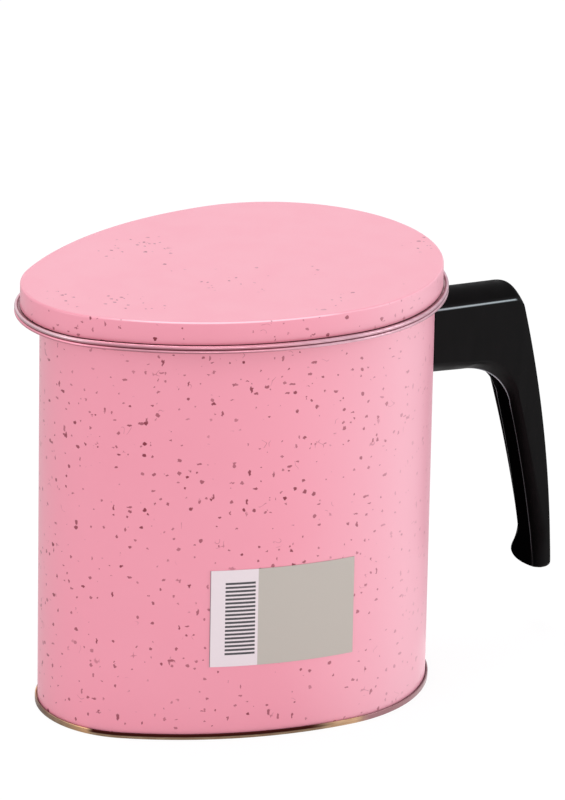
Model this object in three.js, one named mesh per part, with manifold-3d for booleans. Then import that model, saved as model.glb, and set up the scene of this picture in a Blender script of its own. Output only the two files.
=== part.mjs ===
// Oil and bacon-grease pot of egg-shaped plan, with a loose lid and a lift-out strainer.
// Millimetres, +Z up, +X from the pouring end to the handle. The origin is under the middle
// of the whole pot, handle included, on the surface that it stands on.
import * as THREE from 'three';
import { mergeVertices } from 'three/addons/utils/BufferGeometryUtils.js';
import Module from 'manifold-3d';

const wasm = await Module();
wasm.setup();

// Sheet metal and clearances
const SHEET = 0.5; // thickness of every tinplate piece
const SEAT_GAP = 0.3; // between pieces that rest on, wrap or pass through each other
const OVERRUN = 2; // how far a cutting solid runs past the face that it cuts

// Plan of the body: two end circles joined by two long side arcs
const BODY_TIP_RADIUS = 32.5;
const BODY_BIG_RADIUS = 49;
const BODY_CENTRE_DISTANCE = 55.5;
const BODY_SIDE_RADIUS = 130;

// Plan of the rim, which the collar, the strainer's edge and the lid follow
const RIM_TIP_GROWTH = 1.5; // rim's tip circle over the body's
const RIM_BIG_GROWTH = 6.5; // rim's big circle over the body's
const RIM_TIP_REACH = 5.5; // how far the tip circle stands out over the pouring end
const RIM_BIG_SETBACK = 4.5; // how far the big circle sits back from the handle end
const RIM_SIDE_RADIUS = 117;

// Body and bottom
const BODY_HEIGHT = 139.7; // floor to the top of the wall's flange
const WALL_FLANGE = 1.5; // width of that flange
const SEAM_HEIGHT = 2;
const SEAM_THICKNESS = 0.6; // folded metal outside the wall
const SEAM_ROUND = 0.25;
const PANEL_RISE = 3.5; // floor to the underside of the bottom panel

// Collar and the two rolled beads
const COLLAR_SLEEVE = 7; // depth of the collar inside the wall
const BEAD_RADIUS = 0.6;
const BEAD_REACH = 1.3; // bead's centre outside the lid's skirt

// Strainer
const PAN_CLEARANCE = 0.4; // pan wall to the collar's sleeve
const PAN_DEPTH = 20;
const PAN_LIP = 4; // ledge under the gauze
const GAUZE_THICKNESS = 0.4;
const CLAMP_WIDTH = 3.4;
const CLAMP_HEIGHT = 0.8;

// Lid
const LID_HEIGHT = 7.7;
const LID_ROUND = 0.7;
const HEM_HEIGHT = 2; // edge folded inwards

// Label on the front wall
const LABEL_WIDTH = 49.9;
const LABEL_HEIGHT = 34.4;
const LABEL_RISE = 25.9;
const LABEL_THICKNESS = 0.3;

// Handle
const ARM_DROP = 13.3; // wall's top to the arm's top edge
const ARM_HEIGHT = 24.7;
const ARM_FALL = 1; // how much the arm's edges slope down on the way out
const HANDLE_OUT = 53.3; // wall to the outermost point of the grip
const FOOT_CLEARANCE = 23.6; // floor to the foot of the grip
const OUTER_CORNER = 4;
const INNER_CORNER = 20;
const GRIP_BOW_RADIUS = 467; // long curve of the grip's outer edge
const GRIP_BOW_LOW = 17.5; // where that curve runs upright, below the foot
const GRIP_DEPTH_TOP = 9.2;
const GRIP_DEPTH_WAIST = 5.6;
const GRIP_DEPTH_TOE = 6.7;
const WAIST_RISE = 11; // foot to the waist
const HANDLE_CROWN = 2.6; // bulge of the top and outer face
const TOE_CROWN = 1.8; // bulge of the toe's inner face
const OUTER_HALF_WIDTH = 10.2;
const INNER_HALF_WIDTH = 4.3;
const TOE_HALF_WIDTH = 7.6; // inner face's half width where it spreads at the toe
const FOOT_HALF_WIDTH = 9;
const SIDE_FLARE = 5.5; // depth over which the side faces spread from the inner face
const FLARE_POWER = 1.6; // 1 for a straight flare, more for one that bulges
const FLARE_SHARE = 0.8; // most of the depth that the flare takes where the grip is thin
const EDGE_ROUND = 1.2;
const TOE_ROUND = 2.2; // foot's corner towards the pot
const HEEL_ROUND = 2.2; // foot's outer corner
const GROOVE_HALF_WIDTH = 3.7;
const GROOVE_DEPTH = 3;
const GROOVE_RISE = 16; // foot to the groove's end

// Bracket and fasteners
const BRACKET_THICKNESS = 1.2;
const BRACKET_WIDTH = 20;
const BRACKET_HEIGHT = 21;
const TONGUE_LENGTH = 16;
const TONGUE_WIDTH = 11;
const TONGUE_THICKNESS = 1.6;
const SCREW_OUT = 9; // bracket's face to the screw's axis
const SCREW_RADIUS = 2;
const SCREW_HEAD_RADIUS = 3.5;
const SCREW_HEAD_HEIGHT = 2.2;
const SCREW_SLOT = 0.8;
const SCREW_SINK = 4.5; // head's seat above the arm's underside
const WASHER_THICKNESS = 0.8;
const NUT_SIDE = 7;
const NUT_HEIGHT = 2.8;
const RIVET_RADIUS = 1.4;
const RIVET_HEAD_RADIUS = 2.8;
const RIVET_HEAD_HEIGHT = 1;
const RIVET_SPACING_Y = 11;
const RIVET_SPACING_Z = 9;

// Steps round each part of the plan, from the handle end to the tip, one side only
const BIG_STEPS = 12;
const SIDE_STEPS = 7;
const TIP_STEPS = 9;
const ROUND_STEPS = 16; // sides of a fastener

// The two plans, with x measured from midway between the body's end circles
const bodyPlan = {
  tipX: -BODY_CENTRE_DISTANCE / 2,
  tipRadius: BODY_TIP_RADIUS,
  bigX: BODY_CENTRE_DISTANCE / 2,
  bigRadius: BODY_BIG_RADIUS,
  sideRadius: BODY_SIDE_RADIUS,
};
const rimPlan = {
  tipX: bodyPlan.tipX - RIM_TIP_REACH,
  tipRadius: BODY_TIP_RADIUS + RIM_TIP_GROWTH,
  bigX: bodyPlan.bigX - RIM_BIG_SETBACK,
  bigRadius: BODY_BIG_RADIUS + RIM_BIG_GROWTH,
  sideRadius: RIM_SIDE_RADIUS,
};

// Heights above the floor
const collarFlangeZ = BODY_HEIGHT + SEAT_GAP;
const collarBeadZ = collarFlangeZ + SHEET / 2;
const strainerBeadZ = collarBeadZ + 2 * BEAD_RADIUS + SEAT_GAP;
const panFlangeZ = strainerBeadZ - SHEET / 2;
const lidZ = panFlangeZ + SHEET + SEAT_GAP;
const armTopZ = BODY_HEIGHT - ARM_DROP;
const bracketZ = armTopZ - ARM_HEIGHT / 2;

// The wall's outer face at the handle end, and the middle of the whole length
const wallX = bodyPlan.bigX + bodyPlan.bigRadius;
const tipEndX = rimPlan.tipX - rimPlan.tipRadius - BEAD_REACH - BEAD_RADIUS;
const middleX = (wallX + HANDLE_OUT + tipEndX) / 2;

// Offsets from the wall's outer face, inwards
const sleeveOuter = -(SHEET + SEAT_GAP);
const sleeveInner = sleeveOuter - SHEET;
const panOuter = sleeveInner - PAN_CLEARANCE;
const panInner = panOuter - SHEET;

function material(color, roughness, metalness) {
  return new THREE.MeshStandardMaterial({ color, roughness, metalness });
}

const paint = material('#eba0b4', 0.45, 0);
const tinplate = material('#c9c6c8', 0.3, 0.9);
const goldLacquer = material('#b98f5c', 0.35, 0.8);
const steel = material('#b4b4b8', 0.4, 0.9);
const phenolic = material('#1c1b1c', 0.4, 0);
const paper = material('#ddd6d0', 0.7, 0);

// Centre and angles of the upper side arc that joins the two end circles from inside
function sideArc(plan) {
  const middle = (plan.tipX + plan.bigX) / 2;
  const half = (plan.bigX - plan.tipX) / 2;
  const toTip = plan.sideRadius - plan.tipRadius;
  const toBig = plan.sideRadius - plan.bigRadius;
  const x = (toTip ** 2 - toBig ** 2) / (4 * half);
  const y = -Math.sqrt(toTip ** 2 - (x + half) ** 2);
  return {
    x: middle + x,
    y,
    bigAngle: Math.atan2(-y, half - x),
    tipAngle: Math.atan2(-y, -half - x),
  };
}

// A horizontal ring at height z round a plan that is widened by offset
function planRing(plan, offset, z) {
  const side = sideArc(plan);
  const upper = [];
  const addArc = (x, y, radius, from, to, steps) => {
    for (let i = 0; i < steps; i += 1) {
      const angle = from + ((to - from) * i) / steps;
      upper.push([x + (radius + offset) * Math.cos(angle), y + (radius + offset) * Math.sin(angle)]);
    }
  };
  addArc(plan.bigX, 0, plan.bigRadius, 0, side.bigAngle, BIG_STEPS);
  addArc(side.x, side.y, plan.sideRadius, side.bigAngle, side.tipAngle, SIDE_STEPS);
  addArc(plan.tipX, 0, plan.tipRadius, side.tipAngle, Math.PI, TIP_STEPS);
  const tip = [plan.tipX - plan.tipRadius - offset, 0];
  const lower = upper.slice(1).reverse().map(([x, y]) => [x, -y]);
  return [...upper, tip, ...lower].map(([x, y]) => new THREE.Vector3(x, y, z));
}

// A closed body through rings of equally many points: capped at both ends, or joined end to start
function bodyThroughRings(rings, joined) {
  const count = rings[0].length;
  const points = rings.flat();
  const faces = [];
  const last = joined ? rings.length : rings.length - 1;
  for (let i = 0; i < last; i += 1) {
    const a = i * count;
    const b = ((i + 1) % rings.length) * count;
    for (let j = 0; j < count; j += 1) {
      const k = (j + 1) % count;
      faces.push([a + j, a + k, b + k], [a + j, b + k, b + j]);
    }
  }
  if (!joined) {
    const addCap = (ring, start, turned) => {
      const centre = ring.reduce((sum, p) => sum.add(p), new THREE.Vector3()).divideScalar(count);
      points.push(centre);
      for (let j = 0; j < count; j += 1) {
        const k = (j + 1) % count;
        const face = [points.length - 1, start + k, start + j];
        faces.push(turned ? face.reverse() : face);
      }
    };
    addCap(rings[0], 0, false);
    addCap(rings[rings.length - 1], (rings.length - 1) * count, true);
  }
  return facingOut(points, faces);
}

// The geometry of these triangles, turned the other way round if it encloses a negative volume
function facingOut(points, faces) {
  const volume = faces.reduce((sum, [a, b, c]) => {
    const normal = new THREE.Vector3().crossVectors(points[b], points[c]);
    return sum + points[a].dot(normal);
  }, 0);
  const turned = volume < 0 ? faces.map(([a, b, c]) => [a, c, b]) : faces;
  const geometry = new THREE.BufferGeometry().setFromPoints(points);
  geometry.setIndex(turned.flat());
  geometry.computeVertexNormals();
  return geometry;
}

// Outline corners are [plan, offset, z]
function sheetBody(corners, joined = true) {
  const rings = corners.map(([plan, offset, z]) => planRing(plan, offset, z));
  return bodyThroughRings(rings, joined);
}

function toSolid(geometry) {
  const bare = geometry.clone();
  bare.deleteAttribute('normal');
  bare.deleteAttribute('uv');
  const merged = mergeVertices(bare);
  return new wasm.Manifold(
    new wasm.Mesh({
      numProp: 3,
      vertProperties: new Float32Array(merged.attributes.position.array),
      triVerts: new Uint32Array(merged.index.array),
    }),
  );
}

function fromSolid(solid) {
  const mesh = solid.getMesh();
  const geometry = new THREE.BufferGeometry();
  geometry.setAttribute('position', new THREE.BufferAttribute(mesh.vertProperties, 3));
  geometry.setIndex(new THREE.BufferAttribute(mesh.triVerts, 1));
  geometry.computeVertexNormals();
  return geometry;
}

function cut(geometry, cutters) {
  return fromSolid(cutters.reduce((solid, cutter) => solid.subtract(toSolid(cutter)), toSolid(geometry)));
}

function boxAt(sizeX, sizeY, sizeZ, x, y, z) {
  return new THREE.BoxGeometry(sizeX, sizeY, sizeZ).translate(x, y, z);
}

// A round bar along Z from z to z + height
function barAlongZ(radius, z, height, x = 0, y = 0) {
  const bar = new THREE.CylinderGeometry(radius, radius, height, ROUND_STEPS);
  return bar.rotateX(Math.PI / 2).translate(x, y, z + height / 2);
}

// A round bar along X from x to x + length
function barAlongX(radius, x, length, y, z) {
  const bar = new THREE.CylinderGeometry(radius, radius, length, ROUND_STEPS);
  return bar.rotateZ(Math.PI / 2).translate(x + length / 2, y, z);
}

// Corners of a rolled bead, from the underside of its flange round the outside to the top
function beadCorners(z) {
  const open = Math.asin(SHEET / 2 / BEAD_RADIUS);
  const steps = 8;
  return Array.from({ length: steps + 1 }, (_, i) => {
    const angle = -Math.PI + open + ((2 * Math.PI - 2 * open) * i) / steps;
    return [rimPlan, BEAD_REACH + BEAD_RADIUS * Math.cos(angle), z + BEAD_RADIUS * Math.sin(angle)];
  });
}

function makeBottomEnd() {
  const channelZ = SHEET + SEAT_GAP / 2;
  const outer = SEAT_GAP + SEAM_THICKNESS;
  const corners = [
    [bodyPlan, sleeveInner, PANEL_RISE + SHEET],
    [bodyPlan, sleeveOuter, PANEL_RISE],
    [bodyPlan, sleeveOuter, channelZ],
    [bodyPlan, SEAT_GAP, channelZ],
    [bodyPlan, SEAT_GAP, SEAM_HEIGHT - SEAM_ROUND],
    [bodyPlan, SEAT_GAP + SEAM_ROUND, SEAM_HEIGHT],
    [bodyPlan, outer - SEAM_ROUND, SEAM_HEIGHT],
    [bodyPlan, outer, SEAM_HEIGHT - SEAM_ROUND],
    [bodyPlan, outer, SEAM_ROUND],
    [bodyPlan, outer - SEAM_ROUND, 0],
    [bodyPlan, sleeveInner + SEAM_ROUND, 0],
    [bodyPlan, sleeveInner, SEAM_ROUND],
    [bodyPlan, sleeveInner, PANEL_RISE - SEAM_ROUND],
    [bodyPlan, sleeveInner - SEAM_ROUND, PANEL_RISE],
  ];
  return sheetBody(corners, false);
}

function makeBodyShell() {
  const footZ = SHEET + SEAT_GAP + SEAT_GAP / 2;
  const flangeZ = BODY_HEIGHT - SHEET;
  const shell = sheetBody([
    [bodyPlan, -SHEET, footZ],
    [bodyPlan, 0, footZ],
    [bodyPlan, 0, flangeZ],
    [bodyPlan, WALL_FLANGE, flangeZ],
    [bodyPlan, WALL_FLANGE, BODY_HEIGHT],
    [bodyPlan, -SHEET, BODY_HEIGHT],
  ]);
  const holes = rivetPlaces().map((place) => rivetHole(place).translate(wallX, 0, bracketZ));
  return cut(shell, holes);
}

function makeCollar() {
  return sheetBody([
    [bodyPlan, sleeveInner, BODY_HEIGHT - COLLAR_SLEEVE],
    [bodyPlan, sleeveOuter, BODY_HEIGHT - COLLAR_SLEEVE],
    [bodyPlan, sleeveOuter, collarFlangeZ],
    ...beadCorners(collarBeadZ),
    [bodyPlan, sleeveInner, collarFlangeZ + SHEET],
  ]);
}

// A label's outline along the front wall, its right edge where the side arc meets the big circle
function makeLabel() {
  const side = sideArc(bodyPlan);
  const steps = 12;
  const along = (offset) =>
    Array.from({ length: steps + 1 }, (_, i) => {
      const radius = BODY_SIDE_RADIUS + offset;
      const angle = side.bigAngle + (LABEL_WIDTH / BODY_SIDE_RADIUS) * (i / steps);
      return new THREE.Vector2(side.x + radius * Math.cos(angle), -side.y - radius * Math.sin(angle));
    });
  const outline = [...along(SEAT_GAP), ...along(SEAT_GAP + LABEL_THICKNESS).reverse()];
  const shape = new THREE.Shape(outline);
  return new THREE.ExtrudeGeometry(shape, { depth: LABEL_HEIGHT, bevelEnabled: false });
}

function makeStrainerPan() {
  const lipZ = panFlangeZ + SHEET - PAN_DEPTH;
  return sheetBody([
    [bodyPlan, panInner - PAN_LIP, lipZ],
    [bodyPlan, panOuter, lipZ],
    [bodyPlan, panOuter, panFlangeZ],
    ...beadCorners(strainerBeadZ),
    [bodyPlan, panInner, panFlangeZ + SHEET],
    [bodyPlan, panInner, lipZ + SHEET],
    [bodyPlan, panInner - PAN_LIP, lipZ + SHEET],
  ]);
}

// A flat sheet that fills the pan above its ledge
function makeGauze(z) {
  const edge = panInner - SEAT_GAP;
  const corners = [
    [bodyPlan, edge, z],
    [bodyPlan, edge, z + GAUZE_THICKNESS],
  ];
  return sheetBody(corners, false);
}

function makeClampRing(z) {
  const outer = panInner - SEAT_GAP;
  return sheetBody([
    [bodyPlan, outer - CLAMP_WIDTH, z],
    [bodyPlan, outer, z],
    [bodyPlan, outer, z + CLAMP_HEIGHT],
    [bodyPlan, outer - CLAMP_WIDTH, z + CLAMP_HEIGHT],
  ]);
}

function makeLid() {
  const slant = LID_ROUND * (1 - Math.SQRT1_2);
  return sheetBody(
    [
      [rimPlan, -LID_ROUND, LID_HEIGHT],
      [rimPlan, -slant, LID_HEIGHT - slant],
      [rimPlan, 0, LID_HEIGHT - LID_ROUND],
      [rimPlan, 0, 0],
      [rimPlan, -2 * SHEET, 0],
      [rimPlan, -2 * SHEET, HEM_HEIGHT],
      [rimPlan, -SHEET, HEM_HEIGHT + SHEET],
      [rimPlan, -SHEET, LID_HEIGHT - LID_ROUND],
      [rimPlan, -LID_ROUND, LID_HEIGHT - SHEET],
    ],
    false,
  );
}

// Places below are measured from the wall's outer face and from the middle of the bracket
const bracketFaceX = SEAT_GAP + BRACKET_THICKNESS;
const handleRootX = bracketFaceX + SEAT_GAP;
const armTop = armTopZ - bracketZ;
const armBottom = armTop - ARM_HEIGHT;
const footZ = FOOT_CLEARANCE - bracketZ;
const screwX = bracketFaceX + SCREW_OUT;
const nutZ = TONGUE_THICKNESS / 2 + SEAT_GAP;
const seatZ = armBottom + SCREW_SINK;

// Each rivet stands square to the curved wall: its angle round the big circle and its height
function rivetPlaces() {
  const turn = Math.asin(RIVET_SPACING_Y / 2 / BODY_BIG_RADIUS);
  const signs = [-1, 1];
  return signs.flatMap((sz) => signs.map((sy) => ({ turn: sy * turn, z: (sz * RIVET_SPACING_Z) / 2 })));
}

function rivetHole({ turn, z }) {
  const start = BODY_BIG_RADIUS - SHEET - OVERRUN;
  const end = BODY_BIG_RADIUS + bracketFaceX + OVERRUN;
  const hole = barAlongX(RIVET_RADIUS + SEAT_GAP, start, end - start, 0, z);
  return hole.rotateZ(turn).translate(-BODY_BIG_RADIUS, 0, 0);
}

// A steel saddle: its back follows the wall, its face is flat and its tongue enters the handle
function makeBracket() {
  const radius = BODY_BIG_RADIUS + SEAT_GAP;
  const reach = Math.asin(BRACKET_WIDTH / 2 / radius);
  const shape = new THREE.Shape();
  shape.moveTo(bracketFaceX, -BRACKET_WIDTH / 2);
  shape.lineTo(bracketFaceX, BRACKET_WIDTH / 2);
  shape.absarc(-BODY_BIG_RADIUS, 0, radius, reach, -reach, true);
  const saddle = new THREE.ExtrudeGeometry(shape, { depth: BRACKET_HEIGHT, bevelEnabled: false });
  saddle.translate(0, 0, -BRACKET_HEIGHT / 2);
  const rootX = SEAT_GAP + BRACKET_THICKNESS / 2;
  const length = bracketFaceX + TONGUE_LENGTH - rootX;
  const tongue = boxAt(length, TONGUE_WIDTH, TONGUE_THICKNESS, rootX + length / 2, 0, 0);
  const joined = fromSolid(toSolid(saddle).add(toSolid(tongue)));
  const height = TONGUE_THICKNESS + 2 * OVERRUN;
  const screwHole = barAlongZ(SCREW_RADIUS + SEAT_GAP, -height / 2, height, screwX);
  return cut(joined, [screwHole, ...rivetPlaces().map(rivetHole)]);
}

// Outline turned about the axis from below: [radius, height]
function turned(outline) {
  const points = outline.map(([radius, height]) => new THREE.Vector2(radius, height));
  return new THREE.LatheGeometry(points, ROUND_STEPS).rotateX(Math.PI / 2);
}

// Head inside the pot, shank through the wall and the saddle, measured from the big circle's axis
function makeRivet() {
  const headX = BODY_BIG_RADIUS - SHEET - SEAT_GAP;
  const endX = BODY_BIG_RADIUS + bracketFaceX - SEAT_GAP / 2;
  const rivet = turned([
    [0, headX - RIVET_HEAD_HEIGHT],
    [RIVET_HEAD_RADIUS * Math.SQRT1_2, headX - RIVET_HEAD_HEIGHT * Math.SQRT1_2],
    [RIVET_HEAD_RADIUS, headX],
    [RIVET_RADIUS, headX],
    [RIVET_RADIUS, endX],
    [0, endX],
  ]);
  return rivet.rotateY(Math.PI / 2);
}

// Slotted head below, shank up through the tongue and the nut
function makeScrew() {
  const seat = seatZ - WASHER_THICKNESS - 2 * SEAT_GAP;
  const screw = turned([
    [0, seat - SCREW_HEAD_HEIGHT],
    [SCREW_HEAD_RADIUS - EDGE_ROUND, seat - SCREW_HEAD_HEIGHT],
    [SCREW_HEAD_RADIUS, seat - SCREW_HEAD_HEIGHT + EDGE_ROUND],
    [SCREW_HEAD_RADIUS, seat],
    [SCREW_RADIUS, seat],
    [SCREW_RADIUS, nutZ + NUT_HEIGHT],
    [0, nutZ + NUT_HEIGHT],
  ]);
  const slotLength = 2 * SCREW_HEAD_RADIUS + 2 * OVERRUN;
  const slot = boxAt(slotLength, SCREW_SLOT, 2 * SCREW_SLOT, 0, 0, seat - SCREW_HEAD_HEIGHT);
  return cut(screw, [slot]);
}

function makeWasher() {
  const inner = SCREW_RADIUS + SEAT_GAP;
  const low = seatZ - SEAT_GAP - WASHER_THICKNESS;
  const high = seatZ - SEAT_GAP;
  return turned([
    [inner, low],
    [SCREW_HEAD_RADIUS, low],
    [SCREW_HEAD_RADIUS, high],
    [inner, high],
    [inner, low],
  ]);
}

function makeNut() {
  const block = boxAt(NUT_SIDE, NUT_SIDE, NUT_HEIGHT, 0, 0, nutZ + NUT_HEIGHT / 2);
  const hole = barAlongZ(SCREW_RADIUS + SEAT_GAP, nutZ - OVERRUN, NUT_HEIGHT + 2 * OVERRUN);
  return cut(block, [hole]);
}

// The handle is lofted between an inner and an outer edge line in the XZ plane
const footTurnZ = footZ + TOE_ROUND;
const bowLowZ = footZ - GRIP_BOW_LOW;

function bowSag(z) {
  return GRIP_BOW_RADIUS - Math.sqrt(GRIP_BOW_RADIUS ** 2 - (z - bowLowZ) ** 2);
}

function outerX(z) {
  return HANDLE_OUT - HANDLE_CROWN + bowSag(footTurnZ) - bowSag(z);
}

const waistZ = footZ + WAIST_RISE;
const gripTopZ = armBottom - ARM_FALL - INNER_CORNER;

// How far a place has turned from the waist into the toe, from 0 to 1
function toeShare(z) {
  return THREE.MathUtils.smoothstep(waistZ - z, 0, waistZ - footTurnZ);
}

function gripDepth(z) {
  if (z >= waistZ) {
    const share = (z - waistZ) / (gripTopZ - waistZ);
    return THREE.MathUtils.lerp(GRIP_DEPTH_WAIST, GRIP_DEPTH_TOP, share);
  }
  return THREE.MathUtils.lerp(GRIP_DEPTH_WAIST, GRIP_DEPTH_TOE, toeShare(z));
}

function innerX(z) {
  return outerX(z) - gripDepth(z);
}

// One edge line: along the arm, round its corner and down the grip to the foot
function edgeLine(rootZ, radius, gripX) {
  const armEndZ = rootZ - ARM_FALL;
  const centreZ = armEndZ - radius;
  const lean = Math.atan2(gripX(centreZ - radius) - gripX(centreZ), radius);
  const centreX = gripX(centreZ) - radius / Math.cos(lean);
  const line = [];
  for (let i = 0; i < ARM_STEPS; i += 1) {
    const share = i / ARM_STEPS;
    line.push([THREE.MathUtils.lerp(handleRootX, centreX, share), THREE.MathUtils.lerp(rootZ, armEndZ, share)]);
  }
  for (let i = 0; i < CORNER_STEPS; i += 1) {
    const angle = THREE.MathUtils.lerp(Math.PI / 2, lean, i / CORNER_STEPS);
    line.push([centreX + radius * Math.cos(angle), centreZ + radius * Math.sin(angle)]);
  }
  const gripStartZ = centreZ + radius * Math.sin(lean);
  for (let i = 0; i <= GRIP_STEPS; i += 1) {
    const z = THREE.MathUtils.lerp(gripStartZ, footTurnZ, i / GRIP_STEPS);
    line.push([gripX(z), z]);
  }
  return line;
}

const ARM_STEPS = 3;
const CORNER_STEPS = 6;
const GRIP_STEPS = 14;
const FOOT_STEPS = 3;

// Stations along the handle: the two edge points, the half widths there and the crowns
function handleStations() {
  const inner = edgeLine(armBottom, INNER_CORNER, innerX);
  const outer = edgeLine(armTop, OUTER_CORNER, outerX);
  const firstGrip = ARM_STEPS + CORNER_STEPS;
  const stations = inner.map((point, i) => {
    const share = Math.max(0, i - firstGrip) / GRIP_STEPS;
    const toe = toeShare(point[1]);
    return {
      inner: new THREE.Vector2(...point),
      outer: new THREE.Vector2(...outer[i]),
      innerHalf: THREE.MathUtils.lerp(INNER_HALF_WIDTH, TOE_HALF_WIDTH, toe),
      outerHalf: THREE.MathUtils.lerp(OUTER_HALF_WIDTH, FOOT_HALF_WIDTH, share),
      crown: HANDLE_CROWN,
      innerCrown: TOE_CROWN * toe,
    };
  });
  const end = stations[stations.length - 1];
  for (let i = 1; i <= FOOT_STEPS; i += 1) {
    const angle = ((Math.PI / 2) * i) / FOOT_STEPS;
    const turned = 1 - Math.cos(angle);
    const drop = TOE_ROUND * Math.sin(angle);
    stations.push({
      inner: new THREE.Vector2(end.inner.x + TOE_ROUND * turned, end.inner.y - drop),
      outer: new THREE.Vector2(end.outer.x - HEEL_ROUND * turned, end.outer.y - drop),
      innerHalf: end.innerHalf - HEEL_ROUND * turned,
      outerHalf: end.outerHalf - HEEL_ROUND * turned,
      crown: end.crown * (1 - turned / 2),
      innerCrown: end.innerCrown * (1 - turned / 2),
    });
  }
  return stations;
}

// Points at [distance out from the inner edge, y] set up at a station
function ringAtStation(station, pairs) {
  const out = station.outer.clone().sub(station.inner).normalize();
  return pairs.map(([distance, y]) => {
    const x = station.inner.x + out.x * distance;
    const z = station.inner.y + out.y * distance;
    return new THREE.Vector3(x, y, z);
  });
}

function handleSection(station) {
  const depth = station.outer.distanceTo(station.inner);
  const edgeY = station.outerHalf - EDGE_ROUND;
  const flare = Math.min(SIDE_FLARE, (depth - EDGE_ROUND) * FLARE_SHARE);
  const half = [];
  const flareSteps = 4;
  for (let i = 0; i <= flareSteps; i += 1) {
    const share = i / flareSteps;
    const y = THREE.MathUtils.lerp(station.outerHalf, station.innerHalf, (1 - share) ** FLARE_POWER);
    half.push([flare * share, y]);
  }
  half.push([depth - EDGE_ROUND, station.outerHalf]);
  const crownSteps = 4;
  for (let i = 0; i < crownSteps; i += 1) {
    const share = 1 - i / crownSteps;
    half.push([depth + station.crown * (1 - share ** 2), edgeY * share]);
  }
  const crest = [depth + station.crown, 0];
  const mirrored = half.slice().reverse().map(([distance, y]) => [distance, -y]);
  const innerShares = [-2 / 3, -1 / 3, 0, 1 / 3, 2 / 3];
  const bulge = innerShares.map((share) => [-station.innerCrown * (1 - share ** 2), station.innerHalf * share]);
  return ringAtStation(station, [...half, crest, ...mirrored, ...bulge]);
}

// The groove runs along the inner face from the corner down towards the waist
function makeGroove(stations) {
  const used = stations.slice(ARM_STEPS).filter((station) => station.inner.y >= footZ + GROOVE_RISE);
  const rings = used.map((station) =>
    ringAtStation(station, [
      [-OVERRUN, -GROOVE_HALF_WIDTH],
      [GROOVE_DEPTH, -GROOVE_HALF_WIDTH],
      [GROOVE_DEPTH, GROOVE_HALF_WIDTH],
      [-OVERRUN, GROOVE_HALF_WIDTH],
    ]),
  );
  return bodyThroughRings(rings, false);
}

function makeHandle() {
  const stations = handleStations();
  const whole = bodyThroughRings(stations.map(handleSection), false);
  const socketLow = -TONGUE_THICKNESS / 2 - SEAT_GAP;
  const socketHigh = nutZ + NUT_HEIGHT + SEAT_GAP;
  const socketLength = SEAT_GAP + TONGUE_LENGTH + OVERRUN;
  const socket = boxAt(
    socketLength,
    TONGUE_WIDTH + 2 * SEAT_GAP,
    socketHigh - socketLow,
    bracketFaceX + TONGUE_LENGTH + SEAT_GAP - socketLength / 2,
    0,
    (socketHigh + socketLow) / 2,
  );
  const screwHole = barAlongZ(SCREW_RADIUS + SEAT_GAP, armBottom, socketLow + SEAT_GAP - armBottom, screwX);
  const headRadius = SCREW_HEAD_RADIUS + SEAT_GAP;
  const headHole = barAlongZ(headRadius, armBottom - ARM_FALL - OVERRUN, SCREW_SINK + ARM_FALL + OVERRUN, screwX);
  return cut(whole, [makeGroove(stations), socket, screwHole, headHole]);
}

// Adds a named mesh to a group at a place in that group
function addPiece(group, name, geometry, finish, x = 0, y = 0, z = 0) {
  const mesh = new THREE.Mesh(geometry, finish);
  mesh.name = name;
  mesh.position.set(x, y, z);
  group.add(mesh);
}

const grease_pot = new THREE.Group();

const pot = new THREE.Group();
pot.position.x = -middleX;
grease_pot.add(pot);
addPiece(pot, 'bottom_end', makeBottomEnd(), goldLacquer);
addPiece(pot, 'body_shell', makeBodyShell(), paint);
addPiece(pot, 'pouring_collar', makeCollar(), tinplate);
addPiece(pot, 'product_label', makeLabel(), paper, 0, 0, LABEL_RISE);

const fixing = new THREE.Group();
fixing.position.set(wallX, 0, bracketZ);
pot.add(fixing);
addPiece(fixing, 'handle_bracket', makeBracket(), steel);
addPiece(fixing, 'handle', makeHandle(), phenolic);
addPiece(fixing, 'handle_screw', makeScrew(), steel, screwX);
addPiece(fixing, 'lock_washer', makeWasher(), steel, screwX);
addPiece(fixing, 'clamp_nut', makeNut(), steel, screwX);
rivetPlaces().forEach(({ turn, z }, i) => {
  addPiece(fixing, `bracket_rivet_${i + 1}`, makeRivet().rotateZ(turn), steel, -BODY_BIG_RADIUS, 0, z);
});

const strainer = new THREE.Group();
strainer.position.x = -middleX;
grease_pot.add(strainer);
const gauzeZ = panFlangeZ + 2 * SHEET - PAN_DEPTH + SEAT_GAP;
addPiece(strainer, 'strainer_pan', makeStrainerPan(), tinplate);
addPiece(strainer, 'strainer_mesh', makeGauze(gauzeZ), steel);
addPiece(strainer, 'mesh_clamp_ring', makeClampRing(gauzeZ + GAUZE_THICKNESS + SEAT_GAP), tinplate);

const lid = new THREE.Group();
lid.position.set(-middleX, 0, lidZ);
grease_pot.add(lid);
addPiece(lid, 'lid_shell', makeLid(), paint);

export default grease_pot;
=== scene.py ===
"""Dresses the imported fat-straining pot: painted tin walls, rolled rims, gauze, handle and studio."""

from __future__ import annotations

import logging
import math
from collections.abc import Callable, Mapping, Sequence
from dataclasses import dataclass, replace
from enum import Enum
from functools import reduce
from typing import Any

import bmesh
import bpy
import numpy as np
from mathutils import Matrix, Vector

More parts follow.
